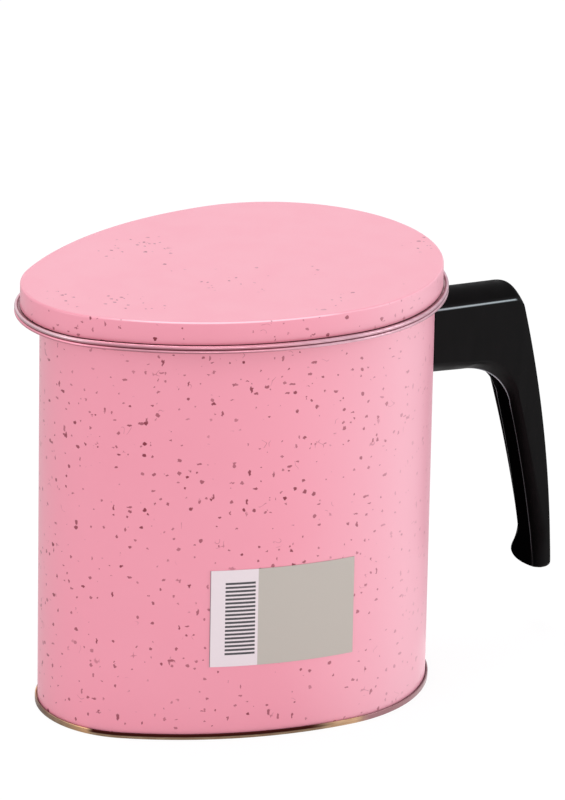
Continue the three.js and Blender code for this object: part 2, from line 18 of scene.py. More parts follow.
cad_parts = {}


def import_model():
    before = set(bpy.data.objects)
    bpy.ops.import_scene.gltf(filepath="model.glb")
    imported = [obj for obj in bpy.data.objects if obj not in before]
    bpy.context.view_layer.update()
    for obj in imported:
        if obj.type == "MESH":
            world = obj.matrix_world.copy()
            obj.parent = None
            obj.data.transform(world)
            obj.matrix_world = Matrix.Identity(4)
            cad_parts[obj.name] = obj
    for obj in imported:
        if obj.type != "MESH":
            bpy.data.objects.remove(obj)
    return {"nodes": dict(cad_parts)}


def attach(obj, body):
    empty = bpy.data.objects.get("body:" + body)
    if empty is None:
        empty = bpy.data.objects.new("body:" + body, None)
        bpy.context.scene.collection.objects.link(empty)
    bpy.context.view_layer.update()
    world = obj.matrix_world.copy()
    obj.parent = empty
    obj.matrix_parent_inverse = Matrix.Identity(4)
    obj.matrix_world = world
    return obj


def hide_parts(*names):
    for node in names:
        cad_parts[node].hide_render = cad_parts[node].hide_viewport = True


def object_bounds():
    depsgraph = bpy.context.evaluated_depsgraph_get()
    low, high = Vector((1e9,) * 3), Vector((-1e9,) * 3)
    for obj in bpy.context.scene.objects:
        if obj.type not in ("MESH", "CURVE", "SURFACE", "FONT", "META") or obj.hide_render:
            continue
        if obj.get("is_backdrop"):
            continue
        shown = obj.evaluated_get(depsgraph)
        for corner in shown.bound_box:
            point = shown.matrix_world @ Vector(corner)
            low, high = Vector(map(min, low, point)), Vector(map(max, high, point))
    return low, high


LOG = logging.getLogger("pot")
# The handle's attribute of painted light: painted highlights above 0, painted shade below.
PAINTED_LIGHT = "edge_shine"
PRINT_MAP = "print"
SMOOTH_ANGLE = math.radians(35)

# Lengths are in millimetres and heights start at the floor. MM turns them into metres.
MM = 0.001
WELD = 0.004 * MM
SHEET = 0.5
SEAT_GAP = 0.3
BEAD_RADIUS = 0.6

# How far the shared frame's middle is along X from the middle of the body's plan.
MIDDLE_X = 30.45

# Heights of the wall's top, the collar's flange, the strainer's rim and the lid's lower edge.
BODY_TOP = 139.7
COLLAR_Z = BODY_TOP + SEAT_GAP
PAN_Z = COLLAR_Z + 2 * BEAD_RADIUS + SEAT_GAP
LID_Z = PAN_Z + SHEET + SEAT_GAP

# Offsets from the body's plan. The last two are from the rim's plan.
SLEEVE_OUTER = -SHEET - SEAT_GAP
SLEEVE_INNER = SLEEVE_OUTER - SHEET
PAN_OUTER = -1.7
PAN_INNER = PAN_OUTER - SHEET
RIM_BEAD_OFFSET = 1.295
# Where the painted shade on the flange inside the rim's bead starts.
FLANGE_SHADE_FROM = -1.0

Mesh = bpy.types.Mesh
Face = bpy.types.MeshPolygon
Object = bpy.types.Object
Node = bpy.types.Node
NodeTree = bpy.types.NodeTree
Socket = bpy.types.NodeSocket
Inputs = Mapping[str | int, Any]
Colour = tuple[float, float, float]
Outline = list[tuple[float, float]]
Span = tuple[float, float]


def linear(red: int, green: int, blue: int) -> Colour:
    """Turns a colour of 0 to 255 a channel, as a picture shows it, into linear light."""
    shares = (channel / 255 for channel in (red, green, blue))
    return tuple(c / 12.92 if c <= 0.04045 else ((c + 0.055) / 1.055) ** 2.4 for c in shares)


class TreeMaker:
    """Adds nodes to one node tree, by kind and by the names of their sockets."""

    def __init__(self, tree: NodeTree) -> None:
        """Keeps the tree, of a shader or of geometry, that the nodes go into."""
        self.tree = tree

    @staticmethod
    def _find(sockets: Any, key: str | int) -> Socket:
        """Finds a socket that is in use, by its place or its name.

        Args:
            sockets: A node's inputs or outputs.
            key: The socket's place among them, or its name.

        Returns:
            The socket.
        """
        if isinstance(key, int):
            return sockets[key]
        return next(socket for socket in sockets if socket.name == key and socket.enabled)

    def feed(self, socket: Socket, value: Any) -> None:
        """Links an output to an input, or sets the input's own value.

        Args:
            socket: The input.
            value: An output socket or a plain value.
        """
        if isinstance(value, Socket):
            self.tree.links.new(value, socket)
        else:
            socket.default_value = value

    def node(self, kind: str, inputs: Inputs | None = None, **settings: Any) -> Node:
        """Adds a node.

        Args:
            kind: The node's type name in Blender.
            inputs: A value or an output socket for each input that is set.
            **settings: Properties of the node itself.

        Returns:
            The new node.
        """
        made = self.tree.nodes.new(kind)
        for name, value in settings.items():
            setattr(made, name, value)
        for key, value in (inputs or {}).items():
            self.feed(self._find(made.inputs, key), value)
        return made

    def out(self, kind: str, inputs: Inputs | None = None, output: str | int = 0, **settings: Any) -> Socket:
        """Adds a node and gives its output at a place or of a name."""
        return self._find(self.node(kind, inputs, **settings).outputs, output)

    def math(self, operation: str, *values: Any, clamp: bool = False) -> Socket:
        """Adds one sum on numbers or sockets, its result kept between 0 and 1 if clamp is set."""
        return self.out("ShaderNodeMath", dict(enumerate(values)), operation=operation, use_clamp=clamp)

    def product(self, *factors: Any) -> Socket:
        """Multiplies numbers or sockets together, in order."""
        return reduce(lambda first, second: self.math("MULTIPLY", first, second), factors)

    def rest(self, share: Any) -> Socket:
        """Gives what a share leaves of one."""
        return self.math("SUBTRACT", 1.0, share)

    def between(self, value: Any, low: float, high: float) -> Socket:
        """Says whether a number lies between two others, as 1 or 0."""
        return self.product(self.math("GREATER_THAN", value, low), self.math("LESS_THAN", value, high))

    def vector(self, operation: str, *values: Any, output: str = "Vector") -> Socket:
        """Adds one sum on vectors or sockets and gives its named output."""
        return self.out("ShaderNodeVectorMath", dict(enumerate(values)), output, operation=operation)

    def scaled(self, vector: Any, scale: Any) -> Socket:
        """Multiplies a vector by a number."""
        return self.out("ShaderNodeVectorMath", {0: vector, "Scale": scale}, operation="SCALE")

    def split(self, vector: Any) -> list[Socket]:
        """Splits a vector into its X, Y and Z."""
        return list(self.node("ShaderNodeSeparateXYZ", {0: vector}).outputs)

    def upright(self, height: Any) -> Socket:
        """Makes a vector along Z."""
        return self.out("ShaderNodeCombineXYZ", {"Z": height})

    def mix_colour(self, share: Any, first: Any, second: Any) -> Socket:
        """Mixes two colours.

        Args:
            share: How much of the second colour shows.
            first: The colour at share 0, as three numbers or a socket.
            second: The colour at share 1.

        Returns:
            The mixed colour's socket.
        """
        pair = [value if isinstance(value, Socket) else (*value, 1) for value in (first, second)]
        inputs = {"Factor": share, "A": pair[0], "B": pair[1]}
        return self.out("ShaderNodeMix", inputs, "Result", data_type="RGBA")

    def ramp(self, value: Any, low: float, high: float, to_low: float = 0.0, to_high: float = 1.0) -> Socket:
        """Maps the numbers from low to high smoothly on to those from to_low to to_high."""
        inputs = {"Value": value, "From Min": low, "From Max": high, "To Min": to_low, "To Max": to_high}
        return self.out("ShaderNodeMapRange", inputs, interpolation_type="SMOOTHSTEP")

    def attribute(self, name: str, kind: str = "FLOAT") -> Socket:
        """Reads a named attribute in a geometry tree."""
        return self.out("GeometryNodeInputNamedAttribute", {"Name": name}, "Attribute", data_type=kind)


class Finish:
    """A surface finish. A subclass sets the nodes of one material."""

    name: str

    def dress(self, make: TreeMaker, surface: Node) -> None:
        """Sets the sockets of the surface, a Principled BSDF node, in the material's tree."""
        raise NotImplementedError

    def material(self) -> bpy.types.Material:
        """Makes the material, or gives it again if it was made before.

        Returns:
            The material.
        """
        known = bpy.data.materials.get(self.name)
        if known is not None:
            return known
        material = bpy.data.materials.new(self.name)
        material.use_nodes = True
        tree = material.node_tree
        tree.nodes.clear()
        make = TreeMaker(tree)
        surface = make.node("ShaderNodeBsdfPrincipled")
        make.node("ShaderNodeOutputMaterial", {"Surface": surface.outputs[0]})
        self.dress(make, surface)
        return material

    @staticmethod
    def link(make: TreeMaker, surface: Node, **sockets: Any) -> None:
        """Feeds outputs or plain values to the surface's inputs, with underscores in their names."""
        for name, value in sockets.items():
            make.feed(surface.inputs[name.replace("_", " ")], value)

    @staticmethod
    def place(make: TreeMaker) -> Socket:
        """Gives the object coordinates, in metres."""
        return make.out("ShaderNodeTexCoord", output="Object")

    @classmethod
    def axes(cls, make: TreeMaker) -> list[Socket]:
        """Gives the object coordinates one by one, in millimetres."""
        return make.split(make.scaled(cls.place(make), 1 / MM))

    @staticmethod
    def upward(make: TreeMaker) -> Socket:
        """Gives how far up the surface looks, from -1 to 1."""
        return make.split(make.out("ShaderNodeTexCoord", output="Normal"))[2]

    @staticmethod
    def noise(
        make: TreeMaker, place: Any, size_mm: float, detail: float = 2.0, output: str = "Fac"
    ) -> Socket:
        """Makes a noise with blotches of a real size and finer layers. Its output is Fac or Color."""
        inputs = {"Vector": place, "Scale": 1 / (size_mm * MM), "Detail": detail}
        return make.out("ShaderNodeTexNoise", inputs, output)

    @staticmethod
    def bump(make: TreeMaker, height: Socket, strength: float, depth_mm: float) -> Socket:
        """Makes a bump of a real depth from a height of 0 to 1 and gives its normal."""
        return make.out("ShaderNodeBump", {"Height": height, "Strength": strength, "Distance": depth_mm * MM})


@dataclass(frozen=True)
class SpeckLayer:
    """One kind of speck: how far apart, how large, how drawn out and how dark."""

    cell_mm: float
    least_mm: float
    most_mm: float
    squeeze: Colour
    dark: float


@dataclass(frozen=True)
class SpeckledPaint(Finish):
    """Satin paint with small dark specks, dashes and curls that a second coat left in it.

    Down the wall towards the handle it is painted paler as a painted sheen, and it loses its gloss and
    specks. The spans along the pot are in millimetres of the shared frame's X, and those of facing are of how
    far up the surface looks.
    """

    name: str = "satin_speckled_paint"
    coat: Colour = linear(230, 148, 165)
    deep_coat: Colour = linear(228, 142, 160)
    coat_patch_mm: float = 38.0
    top_facing: Span = (0.6, 0.95)
    # Painted highlight: the lid's rounded edge is painted in this pale colour, most on the front.
    painted_edge_highlight: Colour = linear(248, 196, 208)
    edge_facing: Span = (0.15, 0.5)
    edge_flattening: Span = (0.8, 0.97)
    edge_from: Span = (-90.0, -70.0)
    edge_to: Span = (-18.0, -10.0)
    edge_left: float = 0.3
    # Painted sheen: the wall is painted in this paler colour towards the handle.
    painted_sheen_coat: Colour = linear(233, 167, 182)
    painted_sheen_from: Span = (-34.0, 28.0)
    rubbed_from: Span = (13.0, 32.0)
    rubbed_gloss: float = 0.3
    roughness: float = 0.36
    roughness_swing: float = 0.03
    rough_patch_mm: float = 9.0
    rough_patches: Span = (0.3, 0.7)
    specular: float = 0.5
    varnish: float = 0.3
    varnish_roughness: float = 0.3
    peel_mm: float = 0.9
    peel_strength: float = 0.2
    peel_depth_mm: float = 0.01
    speck: Colour = linear(118, 0, 38)
    speck_edge: Span = (0.75, 1.1)
    speck_growth: float = 1.3
    faintest_share: float = 0.6
    ragged_mm: float = 0.9
    ragged_reach_mm: float = 1.2
    layers: tuple[SpeckLayer, ...] = (
        SpeckLayer(3.35, 0.335, 0.76, (1.0, 1.0, 1.0), 1.0),
        SpeckLayer(3.85, 0.27, 0.52, (1.0, 1.0, 0.4), 0.95),
        SpeckLayer(3.85, 0.27, 0.52, (0.42, 0.42, 1.0), 0.95),
    )
    layer_step_mm: Colour = (31.0, 17.0, 23.0)
    curl_cell_mm: float = 11.0
    curl_reach_mm: float = 2.0
    curl_inner_share: float = 0.8
    curl_bend_mm: float = 2.6
    curl_width: Span = (0.006, 0.03)
    curl_dark: float = 0.45
    cluster_mm: float = 24.0
    top_clusters: Span = (0.575, 0.625)
    top_share: float = 0.9
    wall_clusters: Span = (0.3, 0.45)
    wall_least: float = 0.55
    thinned_from: Span = (-10.0, 30.0)
    thinned_share: float = 0.3

    def _specks(self, make: TreeMaker, place: Any, layer: SpeckLayer) -> Socket:
        """Makes one layer of specks, each of its own size and strength.

        Args:
            make: The material's tree.
            place: The coordinates, already warped.
            layer: The kind of speck.

        Returns:
            A mask's socket, 1 where a speck is darkest.
        """
        squeezed = make.vector("MULTIPLY", place, layer.squeeze)
        cells = make.node("ShaderNodeTexVoronoi", {"Vector": squeezed, "Scale": 1 / (layer.cell_mm * MM)})
        chance = make.node("ShaderNodeSeparateColor", {"Color": cells.outputs["Color"]})
        grown = make.math("POWER", chance.outputs[0], self.speck_growth)
        least, most = layer.least_mm / layer.cell_mm, layer.most_mm / layer.cell_mm
        reach = make.math("MULTIPLY_ADD", grown, most - least, least)
        near = make.math("DIVIDE", cells.outputs["Distance"], reach)
        faintest = self.faintest_share * layer.dark
        strength = make.math("MULTIPLY_ADD", chance.outputs[1], layer.dark - faintest, faintest)
        return make.product(make.ramp(near, *self.speck_edge, 1.0, 0.0), strength)

    def _curls(self, make: TreeMaker, place: Any) -> Socket:
        """Makes the few thin curled hairs.

        Args:
            make: The material's tree.
            place: The coordinates.

        Returns:
            A mask's socket.
        """
        cells = make.node("ShaderNodeTexVoronoi", {"Vector": place, "Scale": 1 / (self.curl_cell_mm * MM)})
        reach = self.curl_reach_mm / self.curl_cell_mm
        patch = make.ramp(cells.outputs["Distance"], self.curl_inner_share * reach, reach, 1.0, 0.0)
        level = make.math("SUBTRACT", self.noise(make, place, self.curl_bend_mm, 0), 0.5)
        hair = make.ramp(make.math("ABSOLUTE", level), *self.curl_width, 1.0, 0.0)
        return make.product(patch, hair, self.curl_dark)

    def _marks(self, make: TreeMaker, along: Any, top: Any) -> Socket:
        """Makes all specks and hairs: a few clusters on the lid's top, and fewer towards the handle.

        Args:
            make: The material's tree.
            along: The place along the pot.
            top: How far the surface is a top.

        Returns:
            A mask's socket.
        """
        place = self.place(make)
        noise = self.noise(make, place, self.ragged_mm, 2, "Color")
        ragged = make.vector("SUBTRACT", noise, (0.5, 0.5, 0.5))
        dots = make.vector("ADD", place, make.scaled(ragged, self.ragged_reach_mm * MM))
        marks = self._curls(make, place)
        for i, layer in enumerate(self.layers):
            moved = make.vector("ADD", dots, tuple(i * step * MM for step in self.layer_step_mm))
            marks = make.math("MAXIMUM", marks, self._specks(make, moved, layer))
        clusters = self.noise(make, place, self.cluster_mm, 1)
        on_top = make.ramp(clusters, *self.top_clusters, 0.0, self.top_share)
        thinned = make.ramp(along, *self.thinned_from, 1.0, self.thinned_share)
        on_wall = make.product(make.ramp(clusters, *self.wall_clusters, self.wall_least, 1.0), thinned)
        kept = make.math("MULTIPLY_ADD", top, make.math("SUBTRACT", on_top, on_wall), on_wall)
        return make.math("MULTIPLY", marks, kept, clamp=True)

    def _coat(self, make: TreeMaker, along: Any, upward: Any, wall: Any) -> Socket:
        """Makes the coat's colour, with a painted highlight on the lid's edge and a painted sheen towards the
        handle.

        Args:
            make: The material's tree.
            along: The place along the pot.
            upward: How far up the surface looks.
            wall: How far the surface is a wall.

        Returns:
            The colour's socket.
        """
        patches = self.noise(make, self.place(make), self.coat_patch_mm, 2)
        # Painted highlight on the lid's rounded edge, fading towards the handle.
        edge = make.product(
            make.ramp(upward, *self.edge_facing),
            make.ramp(upward, *self.edge_flattening, 1.0, 0.0),
            make.ramp(along, *self.edge_from),
            make.ramp(along, *self.edge_to, 1.0, self.edge_left),
        )
        coat = make.mix_colour(edge, make.mix_colour(patches, self.coat, self.deep_coat), self.painted_edge_highlight)
        # Painted sheen: the wall turns paler towards the handle.
        return make.mix_colour(make.product(make.ramp(along, *self.painted_sheen_from), wall), coat, self.painted_sheen_coat)

    def dress(self, make: TreeMaker, surface: Node) -> None:
        """Sets the paint's colour, specks, gloss and faint orange peel.

        Args:
            make: The material's tree.
            surface: Its Principled BSDF node.
        """
        place, along, upward = self.place(make), self.axes(make)[0], self.upward(make)
        top = make.ramp(upward, *self.top_facing)
        wall = make.rest(top)
        coat = self._coat(make, along, upward, wall)
        rubbed = make.product(make.ramp(along, *self.rubbed_from), wall)
        gloss = make.math("MULTIPLY_ADD", rubbed, self.rubbed_gloss - 1.0, 1.0)
        patches = self.noise(make, place, self.rough_patch_mm, 3)
        low, high = self.roughness - self.roughness_swing, self.roughness + self.roughness_swing
        peel = self.noise(make, place, self.peel_mm, 1)
        peel = self.bump(make, peel, self.peel_strength, self.peel_depth_mm)
        self.link(
            make,
            surface,
            Base_Color=make.mix_colour(self._marks(make, along, top), coat, self.speck),
            Roughness=make.ramp(patches, *self.rough_patches, low, high),
            Specular_IOR_Level=make.product(gloss, self.specular),
            Normal=peel,
            Coat_Weight=make.product(gloss, self.varnish),
            Coat_Roughness=self.varnish_roughness,
            Coat_Normal=peel,
        )


@dataclass(frozen=True)
class RolledMetal(Finish):
    """Bright sheet metal with soft blotches, slanted rolling marks and painted shade in its under colour on
    downward faces.
    """

    name: str
    metal: Colour
    dull_metal: Colour
    # The colour painted on downward faces: painted shade.
    under: Colour
    roughness: float = 0.24
    blotch_mm: float = 6.0
    mark_mm: float = 0.5
    stretch: float = 0.12
    slant: float = 0.0
    mark_edges: Span = (0.4, 0.6)
    mark_share: float = 0.6
    mark_strength: float = 0.2
    mark_depth_mm: float = 0.01
    painted_shade_facing: Span = (-0.75, -0.1)
    rough_marks: Span = (0.25, 0.75)
    rough_shares: Span = (0.8, 1.4)

    def tint(self, make: TreeMaker, plain: Socket) -> Socket:
        """Tints the plain metal's colour along the pot. This metal has no tint."""
        return plain

    def dress(self, make: TreeMaker, surface: Node) -> None:
        """Sets the metal's colour, roughness and rolling marks.

        Args:
            make: The material's tree.
            surface: Its Principled BSDF node.
        """
        place = self.place(make)
        blotches = self.noise(make, place, self.blotch_mm, 3)
        stretched = make.vector("MULTIPLY", place, (self.stretch, self.stretch, 1))
        leaned = make.upright(make.product(make.split(place)[0], self.slant))
        marks = self.noise(make, make.vector("ADD", stretched, leaned), self.mark_mm, 2)
        blotched = make.product(blotches, 1 - self.mark_share)
        worn = make.math("MULTIPLY_ADD", make.ramp(marks, *self.mark_edges), self.mark_share, blotched)
        # Painted shade: faces that look down take the under colour.
        under = make.ramp(self.upward(make), *self.painted_shade_facing, 1.0, 0.0)
        colour = make.mix_colour(under, make.mix_colour(worn, self.metal, self.dull_metal), self.under)
        smoothest, roughest = (self.roughness * share for share in self.rough_shares)
        self.link(
            make,
            surface,
            Base_Color=self.tint(make, colour),
            Metallic=1.0,
            Roughness=make.ramp(marks, *self.rough_marks, smoothest, roughest),
            Normal=self.bump(make, marks, self.mark_strength, self.mark_depth_mm),
        )


@dataclass(frozen=True)
class ReflectionTintedMetal(RolledMetal):
    """Rim metal with a painted pink reflection of the paint, deep up to the pot's middle, and another painted
    reflection at its narrow end.

    The spans are in millimetres of the shared frame's X.
    """

    painted_pink_reflection: Colour = (0.52, 0.22, 0.27)
    pink_reflection_to: Span = (-40.0, -14.0)
    pink_reflection_share: float = 0.8
    # The narrow end's painted reflection: paler metal on the rim, the wall's pink on the collar.
    bare: Colour = (0.62, 0.58, 0.59)
    end_reflection_to: Span = (-96.0, -84.0)
    end_reflection_share: float = 0.4

    def tint(self, make: TreeMaker, plain: Socket) -> Socket:
        """Adds the painted pink reflection, and the narrow end's painted reflection over it.

        Args:
            make: The material's tree.
            plain: The plain metal's colour.

        Returns:
            The tinted colour's socket.
        """
        along = self.axes(make)[0]
        pink_reflection_mask = make.ramp(along, *self.pink_reflection_to, self.pink_reflection_share, 0.0)
        bare = make.ramp(along, *self.end_reflection_to, self.end_reflection_share, 0.0)
        return make.mix_colour(bare, make.mix_colour(pink_reflection_mask, plain, self.painted_pink_reflection), self.bare)


@dataclass(frozen=True)
class SeamMetal(RolledMetal):
    """Lacquered sheet round the foot, with painted shade along its upper part at the front, golden beside it
    and rosy at the handle.

    It is smoky on the side away from the label. The spans are in millimetres of the shared frame.
    """

    smoked: Colour = linear(92, 64, 56)
    smoked_side: Span = (-12.0, 5.0)
    smoked_share: float = 0.65
    # Painted shade: the seam's upper part is painted dark along the front, under the wall.
    painted_seam_shade: Colour = linear(58, 22, 18)
    seam_shade_height: Span = (0.75, 1.15)
    seam_shade_from: Span = (-85.7, -83.9)
    seam_shade_to: Span = (-18.0, -6.0)
    golden: Colour = linear(204, 162, 122)
    golden_from: Span = (-90.7, -85.7)
    golden_again: Span = (-14.0, -8.0)
    golden_share: float = 0.4
    golden_to: Span = (-1.0, 5.0)
    rosy: Colour = linear(134, 98, 102)
    rosy_from: Span = (-1.0, 6.0)

    def tint(self, make: TreeMaker, plain: Socket) -> Socket:
        """Adds the smoke, the gold, the rosy stretch and the painted shade along the upper part, in that
        order.

        Args:
            make: The material's tree.
            plain: The plain metal's colour.

        Returns:
            The tinted colour's socket.
        """
        along, across, height = self.axes(make)
        smoke = make.ramp(across, *self.smoked_side, 0.0, self.smoked_share)
        start = make.ramp(along, *self.seam_shade_from)
        left = make.product(make.ramp(along, *self.golden_from), make.rest(start))
        right = make.product(
            make.ramp(along, *self.golden_again, 0.0, self.golden_share),
            make.ramp(along, *self.golden_to, 1.0, 0.0),
        )
        end = make.ramp(along, *self.seam_shade_to, 1.0, 0.0)
        # Painted shade on the seam's upper part along the front.
        seam_shade_mask = make.product(make.ramp(height, *self.seam_shade_height), start, end)
        tints = (
            (smoke, self.smoked),
            (make.math("MAXIMUM", left, right), self.golden),
            (make.ramp(along, *self.rosy_from), self.rosy),
            (seam_shade_mask, self.painted_seam_shade),
        )
        return reduce(lambda under, tint: make.mix_colour(tint[0], under, tint[1]), tints, plain)


@dataclass(frozen=True)
class BlackPhenolic(Finish):
    """Black moulded plastic, satin, with a fine moulded skin, flow marks, painted highlights along edges and
    painted shade.

    Its attribute of painted light is 1 on a painted highlight, 0 on plain skin, -0.5 without gloss and -1 on
    painted shade in black.
    """

    name: str = "moulded_phenolic"
    plastic: Colour = (0.0042, 0.004, 0.0041)
    worn: Colour = (0.0075, 0.007, 0.0072)
    # Painted shade: the near-black colour of the grip's inner side and the arm's top.
    painted_shade_black: Colour = (0.0008, 0.0008, 0.0008)
    # Painted highlight: the pale colour of the highlight lines along the handle's edges.
    painted_highlight: Colour = (0.68, 0.78, 0.82)
    specular: float = 0.035
    smoothest: float = 0.29
    roughest: float = 0.42
    flow_mm: float = 5.0
    flow_squeeze: Colour = (1.0, 1.0, 0.25)
    flow_edges: Span = (0.3, 0.7)
    skin_mm: float = 0.45
    skin_strength: float = 0.3
    skin_depth_mm: float = 0.02

    def dress(self, make: TreeMaker, surface: Node) -> None:
        """Sets the plastic's colour with its painted highlights and painted shade, and its gloss and skin.

        Args:
            make: The material's tree.
            surface: Its Principled BSDF node.
        """
        place = self.place(make)
        flow = self.noise(make, make.vector("MULTIPLY", place, self.flow_squeeze), self.flow_mm, 3)
        skin = self.noise(make, place, self.skin_mm, 3)
        painted_light = make.out("ShaderNodeAttribute", output="Fac", attribute_name=PAINTED_LIGHT)
        matt = make.math("MULTIPLY", painted_light, -2.0, clamp=True)
        painted_shade_share = make.math("SUBTRACT", make.product(painted_light, -2.0), 1.0, clamp=True)
        # Painted shade: the skin turns near black where the attribute is below -0.5.
        colour = make.mix_colour(painted_shade_share, make.mix_colour(flow, self.plastic, self.worn), self.painted_shade_black)
        self.link(
            make,
            surface,
            # Painted highlight: edges mix towards the pale highlight colour.
            Base_Color=make.mix_colour(make.math("MAXIMUM", painted_light, 0.0), colour, self.painted_highlight),
            Roughness=make.ramp(flow, *self.flow_edges, self.smoothest, self.roughest),
            Specular_IOR_Level=make.product(make.rest(matt), self.specular),
            Normal=self.bump(make, skin, self.skin_strength, self.skin_depth_mm),
        )


@dataclass(frozen=True)
class PrintedPaper(Finish):
    """Coated paper in two tones, with plain equal bars on the paler one. Its spans are shares of its size."""

    name: str = "printed_paper"
    white: Colour = linear(222, 209, 213)
    beige: Colour = linear(179, 171, 162)
    ink: Colour = linear(45, 42, 48)
    fibre: Colour = (0.45, 0.43, 0.42)
    roughness: float = 0.5
    panel_share: float = 0.321
    bars_across: Span = (0.1, 0.302)
    bars_up: Span = (0.12, 0.89)
    bar_count: int = 19
    bar_share: float = 0.55
    # Painted shadow: a dark line along the label's edge towards the pot's narrow end.
    shadow_edge_share: float = 0.004
    shadow_edge_dark: float = 0.75
    grain_mm: float = 0.35
    grain_share: float = 0.12
    grain_strength: float = 0.25
    grain_depth_mm: float = 0.01

    def dress(self, make: TreeMaker, surface: Node) -> None:
        """Sets the two tones, the bars, a painted shadow along one edge and the paper's faint grain.

        Args:
            make: The material's tree.
            surface: Its Principled BSDF node.
        """
        across, up, _ = make.split(make.out("ShaderNodeUVMap", uv_map=PRINT_MAP))
        tone = make.mix_colour(make.math("GREATER_THAN", across, self.panel_share), self.white, self.beige)
        low, high = self.bars_up
        along = make.math("DIVIDE", make.math("SUBTRACT", up, low), high - low)
        bar = make.math("FRACT", make.product(along, self.bar_count))
        stripe = make.math("LESS_THAN", bar, self.bar_share)
        bars = make.product(make.between(across, *self.bars_across), make.between(along, 0.0, 1.0), stripe)
        # Painted shadow along the label's edge towards the pot's narrow end.
        cut = make.product(make.math("LESS_THAN", across, self.shadow_edge_share), self.shadow_edge_dark)
        printed = make.mix_colour(cut, make.mix_colour(bars, tone, self.ink), self.ink)
        grain = self.noise(make, self.place(make), self.grain_mm, 3)
        self.link(
            make,
            surface,
            Base_Color=make.mix_colour(make.product(grain, self.grain_share), printed, self.fibre),
            Roughness=self.roughness,
            Normal=self.bump(make, grain, self.grain_strength, self.grain_depth_mm),
        )


TINPLATE = RolledMetal(
    name="bright_tinplate",
    metal=(0.64, 0.61, 0.61),
    dull_metal=(0.47, 0.44, 0.45),
    under=(0.47, 0.44, 0.45),
    roughness=0.3,
    mark_mm=0.7,
    slant=0.35,
)
# Rim tin: its metal, dull and under colours are pink, a painted reflection of the pink paint around it.
RIM_TIN = ReflectionTintedMetal(
    name="blushed_tinplate",
    metal=(0.54, 0.33, 0.38),
    dull_metal=(0.4, 0.24, 0.28),
    under=(0.55, 0.31, 0.36),
    roughness=0.34,
    mark_mm=TINPLATE.mark_mm,
    slant=TINPLATE.slant,
)
# Collar tin: the same painted pink reflection, and at the narrow end the wall's pink painted over it as a
# reflection.
COLLAR_TIN = replace(
    RIM_TIN, name="rosy_tinplate", bare=linear(214, 142, 157), end_reflection_to=(-86.0, -79.0), end_reflection_share=0.95
)
# Painted shade: a dark tin for the flange's top in the gap under the lid's skirt.
RIM_SHADE = replace(
    TINPLATE,
    name="stained_tinplate",
    metal=(0.27, 0.13, 0.15),
    dull_metal=(0.19, 0.09, 0.1),
    under=(0.27, 0.13, 0.15),
    roughness=0.42,
)
INNER_TIN = RolledMetal(
    name="inner_tinplate",
    metal=(0.62, 0.61, 0.6),
    dull_metal=(0.5, 0.49, 0.48),
    under=(0.5, 0.49, 0.48),
    roughness=0.34,
    blotch_mm=14.0,
)
GOLD_LACQUER = SeamMetal(
    name="gold_lacquered_tin",
    metal=linear(178, 152, 126),
    dull_metal=linear(140, 110, 88),
    under=linear(160, 140, 122),
    roughness=0.34,
    blotch_mm=7.0,
)
GAUZE_WIRE = RolledMetal(
    name="gauze_wire",
    metal=(0.6, 0.6, 0.6),
    dull_metal=(0.45, 0.45, 0.45),
    under=(0.4, 0.4, 0.4),
    roughness=0.3,
    blotch_mm=3.0,
)
ZINC_STEEL = RolledMetal(
    name="zinc_steel",
    metal=(0.66, 0.67, 0.7),
    dull_metal=(0.5, 0.51, 0.54),
    under=(0.45, 0.46, 0.48),
    roughness=0.3,
    blotch_mm=2.5,
)
PAINT = SpeckledPaint()
PHENOLIC = BlackPhenolic()
PAPER = PrintedPaper()


class PlanName(Enum):
    """The two plans that sheet-metal profiles follow."""

    BODY = 0.0
    RIM = 1.0


